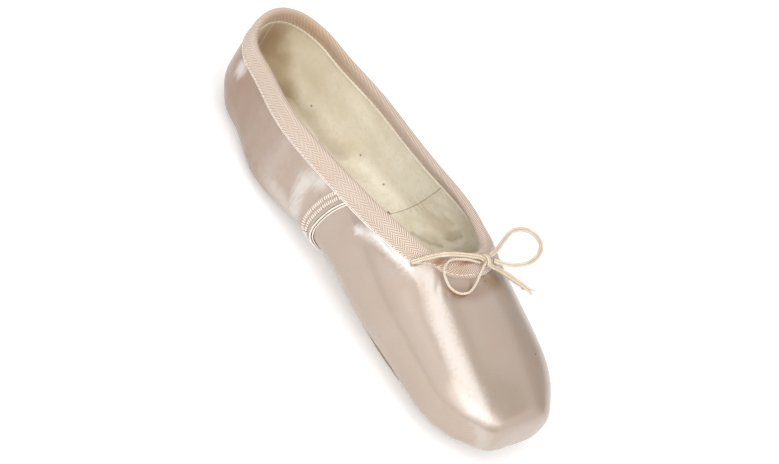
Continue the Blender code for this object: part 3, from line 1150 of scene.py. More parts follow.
@dataclass(frozen=True)
class SoleLeather:
    """Split leather with fine pores and stains, and a dark cut edge.

    Attributes:
        tile: The side of one pressed square, or 0 for the plain leather.
    """

    name: str = "sole_leather"
    tile: float = 0.0
    colour: Colour = (0.58, 0.46, 0.30)
    stain: Colour = (0.40, 0.29, 0.17)
    edge: Colour = (0.30, 0.21, 0.12)

    def material(self) -> bpy.types.Material:
        """Makes the leather's material, whose map's V is the distance from the bottom's edge.

        Returns:
            The material.
        """
        board = Board(self.name)
        spot = board.place()
        cloud = board.noise(spot, 45.0, 5.0, 0.6)
        pores = board.cells(spot, 1900.0)
        scuff = board.noise(board.place((30.0, 400.0, 100.0), 0.3), 3.0, 4.0, 0.7)
        inset = board.part(board.cloth(), "Y")
        if self.tile:
            across = board.part(board.cloth(), "X")
            inset = across.or_less(1.0 - across).or_less(inset).or_less(1.0 - inset) * self.tile
        colour = board.mix(cloud.rise(0.4, 0.75) * 0.6, self.colour, self.stain)
        colour = board.mix(scuff.rise(0.55, 0.8) * 0.3, colour, self.stain)
        rim = 1.0 - inset.rise(0.1 * MM, 0.9 * MM)
        colour = board.mix(rim * 0.9, colour, self.edge)
        normal = board.bump(pores * 0.5 + cloud * 0.4, 0.12 * MM)
        return board.finish(colour, 0.62 + (cloud - 0.5) * 0.2, normal)


@dataclass(frozen=True)
class Braid:
    """Hollow cotton braid: strands that cross in a plait, matt and off-white."""

    colour: Colour = (0.78, 0.67, 0.52)
    hollow: Colour = (0.40, 0.28, 0.18)
    pale: Colour = (0.86, 0.78, 0.66)
    around: float = 5.26 * MM

    def material(self) -> bpy.types.Material:
        """Makes the braid's material.

        Returns:
            The material.
        """
        board = Board("cord_braid")
        flat = board.cloth()
        along, around = board.part(flat, "X"), board.part(flat, "Y")
        one = ((along + around * 0.8) / (1.0 * MM)).wave()
        other = ((along - around * 0.8) / (1.0 * MM)).wave()
        fuzz = board.noise(board.place(), 2400.0, 2.0)
        cloud = board.noise(board.place(), 160.0, 3.0)
        plait = one.or_more(other)
        # Painted shade down the groove in the middle of each flat face.
        groove = ((around / self.around) * 2.0 - 0.25).wave().rise(0.88, 1.0)
        colour = board.mix(plait * 0.8 + fuzz * 0.4 - 0.1, self.hollow, self.colour)
        colour = board.mix(cloud.rise(0.45, 0.7) * 0.45, colour, self.pale)
        colour = board.mix(groove * 0.6, colour, self.hollow)
        normal = board.bump(plait * 0.7 + fuzz * 0.4, 0.12 * MM)
        return board.finish(colour, 0.82, normal, Sheen_Weight=0.3, Sheen_Roughness=0.5)


@dataclass(frozen=True)
class Thread:
    """Twisted sewing thread."""

    name: str = "thread"
    colour: Colour = (0.94, 0.87, 0.79)
    hollow: Colour = (0.80, 0.69, 0.60)

    def material(self) -> bpy.types.Material:
        """Makes the thread's material.

        Returns:
            The material.
        """
        board = Board(self.name)
        flat = board.cloth()
        twist = ((board.part(flat, "X") + board.part(flat, "Y") * 0.6) / (0.4 * MM)).wave()
        colour = board.mix(twist, self.hollow, self.colour)
        return board.finish(colour, 0.6, board.bump(twist, 0.04 * MM), Sheen_Weight=0.2)


@dataclass(frozen=True)
class Floor:
    """A plain pale floor with a trace of its own glow, as on a light table."""

    colour: Colour = (0.80, 0.80, 0.80)
    glow: float = 0.27

    def material(self) -> bpy.types.Material:
        """Makes the floor's material.

        Returns:
            The material.
        """
        board = Board("floor")
        shade = board.noise(board.place(), 3.0, 1.0)
        colour = board.mix(shade * 0.05, self.colour, (0.77, 0.77, 0.77))
        return board.finish(
            colour, 0.9, None, Emission_Color=(1.0, 1.0, 1.0, 1.0), Emission_Strength=self.glow
        )


def dress(made: Piece | list[Piece], finish: Finish, slot: str, *nodes: str) -> Piece | list[Piece]:
    """Gives each piece its finish's material, hangs it on the root and hides its CAD nodes.

    Args:
        made: The piece, or a list of pieces.
        finish: Its finish, whose material is made once.
        slot: The record's slot for its material; it is not used.
        *nodes: The CAD nodes that it stands for.

    Returns:
        What was made.
    """
    for obj in made if isinstance(made, list) else [made]:
        if finish not in MATERIALS:
            MATERIALS[finish] = finish.material()
        obj.data.materials.clear()
        obj.data.materials.append(MATERIALS[finish])
        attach(obj, "root")
        if nodes:
            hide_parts(*nodes)
    return made


# ---- folds ----


@dataclass(frozen=True)
class Fold:
    """A soft ridge or trough in cloth, along a line on the shoe.

    Attributes:
        line: Its points, each as the length along the shoe, y and z, in millimetres.
        width: How far it spreads to each side, in millimetres.
        height: How high its ridge is, or how deep its trough where negative, in millimetres.
        both: True for a fold that the other side of the shoe has too.
    """

    line: Route
    width: float
    height: float
    both: bool = False

    def lift(self, places: Array, sign: int) -> Array:
        """How far the fold lifts each of the places.

        Args:
            places: The places.
            sign: 1 for the fold itself, or -1 for its copy on the other side.

        Returns:
            The lift of each place, in metres.
        """
        line = smooth_line(from_heel(self.line) * [1, sign, 1], MM)
        gaps = np.linalg.norm(places.reshape(-1, 1, 3) - line, axis=2)
        nearest = gaps.argmin(axis=1)
        end = np.minimum(nearest, len(line) - 1 - nearest) / max(len(line) * 0.25, 1.0)
        fade = 0.25 + 0.75 * step(end, 0.0, 1.0)
        lift = self.height * MM * fade * bump(gaps.min(axis=1), 0.0, self.width * MM)
        return lift.reshape(places.shape[:-1])


def lifted(places: Array, normals: Array, lift: Array | float) -> Array:
    """The places, moved out along their normals."""
    return places + normals * np.asarray(lift)[..., None]


def total_lift(folds: Sequence[Fold], places: Array) -> Array:
    """The lift of all the folds together, with the copies of those that both sides have."""
    return sum(fold.lift(places, sign) for fold in folds for sign in ((1, -1) if fold.both else (1,)))


def flat_map(places: Array) -> Array:
    """The flat cloth's map of a grid: along the middle row, and up each row from its end.

    Args:
        places: The grid.

    Returns:
        The map, as rows by columns by 2.
    """
    middle = places.shape[1] // 2
    across = np.array([travelled(row) for row in places])
    return paired(travelled(places[:, middle])[:, None], across - across[:, middle : middle + 1])


# ---- threads ----


@dataclass
class Seam:
    """A line of stitching on a surface.

    Attributes:
        line: The seam's points on the surface, about a third of a millimetre apart.
        normals: The surface's normals there.
    """

    line: Array
    normals: Array

    def running(self, pitch: float, share: float, high: float) -> Array:
        """The path of a running stitch, which goes over and under the cloth.

        Args:
            pitch: The length of a stitch and its gap.
            share: The stitch's share of that.
            high: How high it stands.

        Returns:
            The path.
        """
        turns = travelled(self.line) / pitch
        swing = np.cos(math.tau * turns) - math.cos(math.pi * share)
        lift = np.where(swing > 0, high * np.minimum(swing * 2.5, 1.0), 0.9 * MM * swing)
        return lifted(self.line, self.normals, lift)

    def bars(self, pitch: float, width: float, high: float) -> list[Array]:
        """The paths of bars across the seam, each bent down into the cloth at both ends.

        Args:
            pitch: How far apart the bars are.
            width: Their length.
            high: How high they stand.

        Returns:
            Their paths.
        """
        along = unit(np.gradient(self.line, axis=0))
        across = unit(np.cross(self.normals, along))
        far = travelled(self.line)
        reach = np.array([-0.5, -0.43, -0.2, 0.2, 0.43, 0.5])[:, None] * width
        lift = np.array([-1.2, 0.5, 1.0, 1.0, 0.5, -1.2])[:, None] * high
        spots = [int(np.searchsorted(far, at)) for at in np.arange(pitch, far[-1] - pitch, pitch)]
        return [self.line[at] + across[at] * reach + self.normals[at] * lift for at in spots]


def tube(name: str, line: Array, radius: float, sides: int = 6) -> Piece:
    """A closed round tube along a line, pointed at both ends.

    Args:
        name: The tube's name.
        line: The points that it follows.
        radius: Its radius.
        sides: How many sides it has.

    Returns:
        The tube.
    """
    along = unit(np.gradient(line, axis=0))
    frames = [unit(np.cross(along[0], [0.3, 0.2, 0.9]))]
    for tangent in along[1:]:
        frames.append(unit(frames[-1] - tangent * np.dot(frames[-1], tangent)))
    side = np.array(frames)
    turn = np.linspace(0.0, math.tau, sides + 1)
    reach = np.full((len(line), 1), radius)
    reach[[0, -1]] = 0.0
    places = swept(line, side, np.cross(along, side), reach * np.cos(turn), reach * np.sin(turn))
    flat = paired(travelled(line)[:, None], turn * float(reach.mean()))
    return Bench.sheet(name, places, flat)


# ---- the satin ----


SEAM_LINE = ((8, 117), (12, 115.2), (15, 112.6), (18, 110.8), (22, 110.2), (26, 110.5))
SEAM_LINE += ((31, 111.3), (36, 112.5), (41, 114.5), (46, 117), (52, 120))


def seam_along(high: Array, behind: float = 0.0) -> Array:
    """How far along the shoe the side seam lies at these heights, in metres."""
    heights, lengths = zip(*SEAM_LINE)
    return (np.interp(high / MM, heights, lengths) - behind) * MM


@dataclass
class SatinCover:
    """The satin over the last: quarters and vamp, back strip, side seams and pleats.

    Attributes:
        last: The form that the satin lies on.
        spacing: How far apart its rows are.
        thick: The satin's thickness, with its backing.
        quarter_rise: How far the quarters stand above the form.
        edge_rise: How far the quarters' front edge stands above it, over the vamp.
        vamp_rise: How far the vamp stands above it.
        vamp_rows: The vamp's rows that end at the collar, and those that end on the middle line.
        vamp_columns: The points in a row of one half of the vamp.
        seam: How far along the shoe the side seams lie.
        strip: Half of the back strip's width.
        ladders: How far behind the seam each row of ladder stitches lies, and its width, in mm.
        quarter_folds: The slack in the quarters.
        vamp_folds: The slack in the vamp, and its gathers at the throat.
        pleats: Where each pleat lies, as degrees from the toe's middle, and its height in mm.
    """

    last: Last
    spacing: float = 0.85 * MM
    thick: float = 0.5 * MM
    quarter_rise: float = 0.25 * MM
    edge_rise: float = 0.8 * MM
    vamp_rise: float = 0.2 * MM
    vamp_rows: tuple[int, int] = (104, 66)
    vamp_columns: int = 96
    seam: float = 110.0 * MM
    strip: float = 9.0 * MM
    ladders: tuple[tuple[float, float], ...] = ((2.7, 1.5), (5.9, 1.8))
    quarter_folds: tuple[Fold, ...] = (
        Fold(((90, -31, 39.5), (94, -31, 38.5), (97, -31, 39)), 4.6, -1.3, True),
        Fold(((93, -33, 24), (95.5, -33, 22), (99, -33, 22)), 5, 1.3, True),
        Fold(((72, -31, 38), (76, -31, 37.5), (79, -31, 38)), 4.4, -1, True),
        Fold(((75, -33, 24), (78, -33, 22), (81, -33, 21)), 5, 1, True),
        Fold(((84, -31, 36), (85, -32.5, 31), (87, -32.5, 27)), 2.6, 0.5, True),
        Fold(((86, -33, 18), (88, -32.5, 15)), 4, -0.5, True),
        Fold(((104, -33, 38), (101.5, -33.5, 30), (103, -33, 22)), 2.6, -0.5, True),
        Fold(((60, -31, 32), (62, -32, 24), (60, -29, 15)), 6, -0.7, True),
        Fold(((18, -25, 39), (22, -26, 38), (27, -27, 37.5)), 4, -0.7, True),
        Fold(((18, -26, 27), (24, -27, 26), (30, -28, 25)), 4.5, 0.8, True),
        Fold(((36, -29, 30), (40, -29, 22), (44, -29, 14)), 5, -0.4, True),
        Fold(((54, -30, 9), (76, -32, 9), (98, -33, 10)), 4, 0.9, True),
        Fold(((56, -31, 19), (68, -32, 18)), 3.5, -0.5, True),
        Fold(((88, -31, 34), (90, -32, 28), (94, -31, 20)), 1.3, 0.3),
        Fold(((70, -31, 37), (71, -33, 30), (71, -31, 22)), 1.6, 0.3),
    )
    vamp_folds: tuple[Fold, ...] = (
        Fold(((121, -33, 16), (128, -35, 13), (136, -36, 12)), 3.5, -0.5, True),
        Fold(((119, -31, 42), (121, -33, 34), (120, -34, 26)), 4, -0.3, True),
        Fold(
            ((126, -33, 41), (134, -32.3, 44), (142, -31.3, 46.2), (150, -30.3, 47), (158, -29, 47.3),
             (166, -27.5, 46.8), (174, -25.5, 46.3)),
            2.8, 0.85, True,
        ),
        Fold(((166, -19.5, 54), (170, -21.5, 50), (175, -23, 47)), 2.2, 0.3),
        Fold(((167, -22, 52), (170, -24.5, 48.5), (174, -26, 46)), 2, -0.35),
        Fold(((167.5, -16.5, 54.5), (172, -18.5, 51.5), (178, -20, 48)), 2, 0.22),
        Fold(((168.5, -18.5, 53.5), (172.5, -20.5, 49.8), (176, -21.5, 47)), 1.6, -0.18),
        Fold(((169, -13.5, 55), (173.5, -15, 52.5), (178, -15.5, 50.5)), 1.2, 0.5),
        Fold(((171, -16, 53.5), (175.5, -17.5, 50.5), (179, -18, 48.5)), 1, -0.4),
        Fold(((167.5, 17, 54.5), (172, 19, 51.5), (176, 20.5, 48)), 1.6, 0.6),
        Fold(((168, 21, 52), (172, 24, 48.5), (176, 25.5, 45.5)), 1.6, -0.6),
        Fold(((170, 12.5, 55), (174.5, 14, 52.5), (178, 14.5, 50.5)), 1.6, 0.4),
    )
    pleats: tuple[tuple[float, float], ...] = (
        (-78, 0.35), (-62, 0.6), (-47, 0.8), (-33, 0.9), (-20, 1.0), (-8, 0.9),
        (5, 1.0), (17, 0.85), (29, 0.95), (42, 0.85), (57, 0.65), (73, 0.4),
    )

    def rows(self, start: float, end: float) -> Array:
        """The lengths along the shoe of a sheet's rows."""
        return np.linspace(start, end, round(abs(end - start) / self.spacing) + 1)

    def straight(self, side: Side, alongs: Array) -> list[Point]:
        """Rows square to the shoe's length, from the hem to the collar or the top."""
        return [(along, along, self.last.top_angle(self.last.outer, side, along)) for along in alongs]

    def quarters(self) -> Piece:
        """The quarters: one sheet from side seam to side seam, round the heel.

        Returns:
            The sheet.
        """

        def slant(along: float, high: Array) -> Array:
            """How far a row at this length leans with the side seam."""
            return step(along, self.seam - 45 * MM, self.seam) * (seam_along(high) - self.seam)

        last = self.last
        alongs = self.rows(self.seam, Last.BACK)
        halves = []
        for side, kept in ((Side.RIGHT, slice(None)), (Side.LEFT, slice(-2, None, -1))):
            half = last.laid(last.outer, side, self.straight(side, alongs), (120, 60), slant)
            halves.append([grid[kept] for grid in half])
        places, normals = (np.concatenate(grids) for grids in zip(*halves))
        along = np.concatenate([alongs, alongs[-2::-1]])[:, None]
        lift = self.quarter_rise + total_lift(self.quarter_folds, places)
        lift = lift + (self.edge_rise - self.quarter_rise) * step(along, self.seam - 9 * MM, self.seam)
        lift = lift + self.swell(places) * bump(along, self.seam - 3 * MM, 7 * MM)
        puffs = bump(along, self.seam - 4.3 * MM, 0.6 * MM) * 0.3 * MM
        for behind, width in self.ladders:
            puffs = puffs - bump(along, self.seam - behind * MM, width * 0.6 * MM) * 0.2 * MM
        places = self.sunk(lifted(places, normals, lift + puffs))
        return Bench.sheet("satin_quarters", places, flat_map(places), self.thick)

    @staticmethod
    def swell(places: Array) -> Array:
        """How far the layers of the turned hem swell the side seam, near the sole."""
        return 0.9 * MM * (1 - step(places[..., 2], 13 * MM, 24 * MM))

    def pleat_lift(self, places: Array) -> Array:
        """The lift of the pleats round the sole's front.

        Args:
            places: The places.

        Returns:
            The lift of each place, in metres.
        """
        x = places[..., 0] + FORM_HALF - 188 * MM
        y = places[..., 1]
        angle = np.degrees(np.arctan2(y, x))
        radius = np.hypot(x, y)
        under = 1 - step(places[..., 2], 5 * MM, 13 * MM)
        near = step(radius, 20 * MM, 26 * MM)
        spread = 1.3 + 1.5 * step(radius, 30 * MM, 50 * MM)
        total = np.zeros(places.shape[:-1])
        for middle, height in self.pleats:
            off = angle - middle - wander(radius * 220, middle) * 1.2
            ridge = np.exp(-((np.where(off > 0, off / (spread * 0.6), off / (spread * 2.2))) ** 2))
            total += height * (ridge - 0.25)
        return total * 1.05 * MM * under * near

    def vamp(self) -> Piece:
        """The vamp: both halves joined on the middle line, closed over the toe.

        Returns:
            The sheet.
        """
        last, columns = self.last, self.vamp_columns
        closing = self.vamp_rows[0]
        front = sum(self.vamp_rows) + 1
        toe = self.rows(Last.TOE_CENTRE, Last.END)[1:]
        halves = []
        for side in Side:
            rows = last.rows(last.outer, side, self.seam - 7 * MM, self.vamp_rows)
            rows += self.straight(side, toe)
            places, normals = last.laid(last.outer, side, rows, (2 * columns, columns))
            lift = self.vamp_rise + total_lift(self.vamp_folds, places) + self.pleat_lift(places)
            ahead = step(last.along_of(places), self.seam - 2 * MM, self.seam + 6 * MM)
            places = lifted(places, normals, lift - 0.35 * MM * (1 - ahead))
            spot = from_heel([(166, side.value * 30.5, 42.5)])[0]
            near = bump(np.linalg.norm(places - spot, axis=-1), 0.0, 7 * MM)[..., None]
            places = self.sunk(places + (relaxed(places, 60) - places) * near)
            places[closing:, -1, 1] = 0.0
            hem = places[front - 3 :, 0]
            hem[:, 1] *= np.abs(hem[:, 1]) > 1 * MM
            halves.append(places)
        right, left = halves
        loop = np.concatenate([right[front:], left[front:, -2:0:-1]], axis=1)
        share = step(np.arange(len(loop)), 0.0, 16.0)[:, None, None]
        loop = loop + (relaxed(loop, 90, rings=True) - loop) * share
        right[front:] = loop[:, :columns]
        left[front:, 1:-1] = loop[:, : columns - 1 : -1]
        left[front:, [0, -1]] = loop[:, [0, columns - 1]]
        right[-1] = left[-1] = right[-1].mean(axis=0) * [1, 0, 1]
        sheets = [Bench.sheet("half", half, flat_map(half), turned=half is right) for half in halves]
        return Bench.joined("satin_vamp", sheets, WELD, self.thick)

    @staticmethod
    def sunk(places: Array) -> Array:
        """The places, drawn down beside the sole, where the cloth sags over its edge.

        Args:
            places: The places.

        Returns:
            The lowered places.
        """
        high = places[..., 2]
        drop = 1.1 * MM * (1 - step(high, 3 * MM, 13 * MM)) * step(high, 1 * MM, 3 * MM)
        return np.concatenate([places[..., :2], (high - drop)[..., None]], axis=-1)

    def back_strip(self) -> Piece:
        """The strip of satin that covers the heel's seam, from the collar to the sole.

        Returns:
            The strip.
        """
        last = self.last
        spread = np.linspace(-1.0, 1.0, 27)
        columns = []
        for share in spread:
            side = Side.LEFT if share > 0 else Side.RIGHT
            angles = np.linspace(last.start_angle(last.outer, side, Last.BACK), 2.3, 64)
            columns.append(last.line(last.outer, side, Last.BACK + abs(share) * self.strip, angles))
        places, normals = last.outer.near(relaxed(np.stack(columns, axis=1), 4))
        edge = np.minimum((1 - np.abs(spread)) / 0.12, 1.0)
        rise = 0.5 * MM * np.sqrt(1 - (1 - edge) ** 2) - 0.05 * MM
        places = self.sunk(lifted(places, normals, self.quarter_rise + rise))
        return Bench.sheet("back_strip", places, flat_map(places), turned=True)

    def edge_line(self, side: Side, behind: float, rise: float, share: float = 1.0) -> Seam:
        """A line on the quarter or the vamp, parallel to the side seam.

        Args:
            side: The side of the shoe.
            behind: How far behind the seam it lies, in millimetres.
            rise: How far above the form, in metres.
            share: How much of the hem's swell lifts it.

        Returns:
            The line and its normals, from the sole up to the collar.
        """
        last = self.last
        low = last.start_angle(last.outer, side, self.seam) + 0.08
        angles = np.linspace(low, last.top_angle(last.outer, side, self.seam) - 0.12, 80)
        line = last.line(last.outer, side, self.seam, angles)
        for _ in range(3):
            line = last.line(last.outer, side, seam_along(line[:, 2], behind), angles)
        line, normals = last.outer.near(smooth_line(line[::4], 0.3 * MM))
        line = lifted(line, normals, rise)
        return Seam(lifted(line, normals, self.swell(line) * share), normals)

    def seam_work(self, side: Side) -> list[Piece]:
        """The piping, the tuck and the two rows of ladder stitches of one side seam.

        Args:
            side: The side of the shoe.

        Returns:
            The pieces.
        """
        name = side.name.lower()
        pipe = self.edge_line(side, -0.8, self.vamp_rise + 0.5 * MM)
        tuck = self.edge_line(side, -1.9, self.vamp_rise + 0.1 * MM, 0.5)
        pieces = [
            tube(f"side_piping_{name}", pipe.line, 0.42 * MM, 8),
            tube(f"side_tuck_{name}", tuck.line, 0.3 * MM, 8),
        ]
        for number, (behind, width) in enumerate(self.ladders, 1):
            climb = (self.edge_rise - self.quarter_rise) * float(step(-behind, -9.0, 0.0))
            seam = self.edge_line(side, behind, self.quarter_rise + climb, bump(behind, 3, 7))
            bed = tube(f"side_slit_{name}_{number}", seam.line, 0.4 * MM * width, 8)
            bars = [tube("bar", path, 0.33 * MM) for path in seam.bars(1.25 * MM, width * MM, 0.42 * MM)]
            pieces.append(self.flattened(bed, seam, 0.05 * MM))
            pieces.append(Bench.joined(f"side_ladder_{name}_{number}", bars))
        return pieces

    @staticmethod
    def flattened(bed: Piece, seam: Seam, high: float) -> Piece:
        """Presses a tube flat on to the surface along its seam.

        Args:
            bed: The tube.
            seam: The seam.
            high: How high its middle then lies.

        Returns:
            The tube.
        """
        places = points_of(bed)
        nearest = [int(np.linalg.norm(seam.line - place, axis=1).argmin()) for place in places]
        facing = seam.normals[nearest]
        off = ((places - seam.line[nearest]) * facing).sum(axis=1, keepdims=True)
        places = places - facing * (off * 0.8 - high)
        Bench.move_points(bed, places)
        return bed


# ---- the binding ----


@dataclass
class Binding:
    """The tape folded over the collar: an outer leg, a round crest and an inner leg.

    Attributes:
        last: The form, whose two collar edges the tape covers.
        outer_leg: The depth of the leg outside.
        inner_leg: The depth of the leg inside.
        stand: How far the tape stands above the form.
        puff: How much more it stands over the casing.
        rows: The points round the collar.
        outer_columns: The points down the outer leg.
        inner_columns: The points down the inner leg.
        crest_columns: The points over the crest.
        width: The tape's whole width, measured when it is made.
        legs: Each leg's places and the form's normals there, kept for the stitches and the roll.
    """

    last: Last
    outer_leg: float = 9.8 * MM
    inner_leg: float = 7.3 * MM
    stand: float = 1.0 * MM
    puff: float = 0.32 * MM
    rows: int = 520
    outer_columns: int = 24
    inner_columns: int = 18
    crest_columns: int = 9
    width: float = 0.0
    legs: dict[str, tuple[Array, Array]] = field(default_factory=dict)

    def edges(self) -> tuple[Array, Array]:
        """The two collar edges, evened out and paired point by point.

        Returns:
            The outer edge and the inner one.
        """
        outer = even_line(closed(self.last.outer.collar), self.rows + 1)[:-1]
        inner = even_line(closed(self.last.inner.collar), 4 * self.rows + 1)[:-1]
        even = np.arange(self.rows) * math.tau / self.rows
        share = np.array([np.linalg.norm(inner - place, axis=1).argmin() for place in outer])
        share = np.unwrap(share * math.tau / len(inner))
        share = (evened(share - even, 6) + even) * len(inner) / math.tau
        partner = between(closed(inner), np.arange(len(inner) + 1), share % len(inner))
        return evened(outer, 2), evened(partner, 2)

    def walk(self, skin: Skin, edge: Array, lengths: Array, columns: int) -> tuple[Array, Array]:
        """Points down a skin from the collar's edge, square to it.

        Args:
            skin: The skin to walk down.
            edge: The collar's edge.
            lengths: How far down each row goes.
            columns: The points in each row.

        Returns:
            The places and normals, as rows by columns by 3.
        """
        along = unit(np.roll(edge, -1, axis=0) - np.roll(edge, 1, axis=0))
        spots, facing = edge, skin.near(edge)[1]
        onward = unit(np.cross(along, facing))
        onward = onward * np.where(onward[:, 2:3] > 0, -1.0, 1.0)
        stride = (lengths / (columns - 1))[:, None]
        places, normals = [spots], [facing]
        for _ in range(columns - 1):
            moved, facing = skin.near(evened(spots + onward * stride, 3))
            facing = unit(evened(facing, 1))
            ahead = unit(moved - spots)
            onward = unit(evened(ahead - facing * (ahead * facing).sum(axis=1, keepdims=True), 2))
            spots = moved
            places.append(spots)
            normals.append(facing)
        return np.stack(places, axis=1), np.stack(normals, axis=1)

    def leg_lengths(self, edge: Array) -> Array:
        """The depth of the outer leg at each point of the edge: drawn in at the gathers.

        Args:
            edge: The collar's outer edge.

        Returns:
            The depths.
        """
        y = np.abs(edge[:, 1]) / MM
        corner = bump(y, 20.5, 2.4) * 1.2 * MM
        drawn = bump(y, 15.6, 2.4) * 6.0 * MM
        lip = (1 - step(y, 7.0, 13.0)) * 0.5 * MM
        return self.outer_leg + self.front_of(edge) * (corner - drawn + lip)

    def tape(self) -> Piece:
        """The binding's tape, as one closed band.

        Returns:
            The tape.
        """
        last = self.last
        outer, inner = self.edges()
        down, down_normals = self.walk(last.outer, outer, self.leg_lengths(outer), self.outer_columns)
        depth = np.full(self.rows, self.inner_leg)
        within, within_normals = self.walk(last.inner, inner, depth, self.inner_columns)

        share = np.linspace(0.0, 1.0, self.outer_columns)
        y = np.abs(outer[:, 1:2]) / MM
        front = self.front_of(outer)[:, None]
        gather = front * bump(y, 17.0, 7.0)
        ripple = gather * np.sin(travelled(outer)[:, None] / MM * 2.3) * share * 0.45 * MM
        lip = front * (1 - step(y, 8.0, 14.0)) * np.sin(share * math.pi * 0.6) * 1.5 * MM
        lip = lip * (1 - share**6)
        puff = self.puff * np.sin(np.minimum(share * 2.2, 1.0) * math.pi)
        stitch = 0.25 * MM * bump(share, 0.92, 0.035) - 0.2 * MM * bump(share, 0.85, 0.04)
        rise = self.stand * self.round_edge(share) + puff + stitch + ripple + lip
        outside = lifted(down, down_normals, rise)

        share = np.linspace(0.0, 1.0, self.inner_columns)
        rise = 0.75 * MM * self.round_edge(share) - 0.2 * MM * bump(share, 0.84, 0.06)
        rise = rise + 0.3 * MM * np.sin(np.minimum(share * 2, 1) * math.pi)
        inside = lifted(within, within_normals, np.broadcast_to(rise, within.shape[:2]))

        middle, half = (outside[:, 0] + inside[:, 0]) / 2, (outside[:, 0] - inside[:, 0]) / 2
        up = unit(-unit(down[:, 2] - down[:, 0]) - unit(within[:, 2] - within[:, 0]))
        turn = np.linspace(0.0, math.pi, self.crest_columns + 2)[None, 1:-1]
        high = np.linalg.norm(half, axis=1)[:, None] * np.sin(turn) * 0.58
        crest = swept(middle, half, up, np.cos(turn), high)
        places = closed(np.concatenate([outside[:, ::-1], crest, inside], axis=1))
        self.legs = {"outside": (outside, down_normals), "inside": (inside, within_normals)}
        across = travelled(places[0])
        self.width = float(across[-1])
        flat = paired(travelled(closed(outer))[:, None], across)
        return Bench.sheet("collar_tape", places, flat, turned=True)

    @staticmethod
    def front_of(edge: Array) -> Array:
        """1 where the collar's edge crosses the throat, and 0 along the sides."""
        return step(edge[:, 0], 30 * MM, 36 * MM)

    @staticmethod
    def round_edge(share: Array) -> Array:
        """1 over a leg, going down to below the cloth at its lower edge."""
        rest = np.clip((1 - share) / 0.08, 0.0, 1.0)
        return np.sqrt(1 - (1 - rest) ** 2) * 1.3 - 0.3

    def roll(self) -> Piece:
        """The thin roll of canvas below the inner leg's edge.

        Returns:
            The roll.
        """
        places, normals = self.legs["inside"]
        loop = evened(places[:, -2] - normals[:, -2] * 0.1 * MM, 4)
        loop = np.concatenate([loop, loop[:2]])
        return tube("collar_roll", even_line(loop, 900), 0.5 * MM, 8)

    def stitches(self) -> list[Piece]:
        """The stitching above the lower edge of both legs.

        Returns:
            The outer stitching and the inner one.
        """
        pieces = []
        for leg, share in (("outside", 0.86), ("inside", 0.84)):
            column = round(share * (self.legs[leg][0].shape[1] - 1))
            loop, facing = (closed(grid[:, column]) for grid in self.legs[leg])
            spots = np.arange(len(loop))
            spaced = np.linspace(0, len(loop) - 1, round(travelled(loop)[-1] / (0.32 * MM)))
            seam = Seam(between(loop, spots, spaced), between(facing, spots, spaced))
            pieces.append(tube(f"collar_stitch_{leg}", seam.running(2.3 * MM, 0.62, 0.16 * MM), 0.2 * MM, 5))
        return pieces


# ---- inside ----


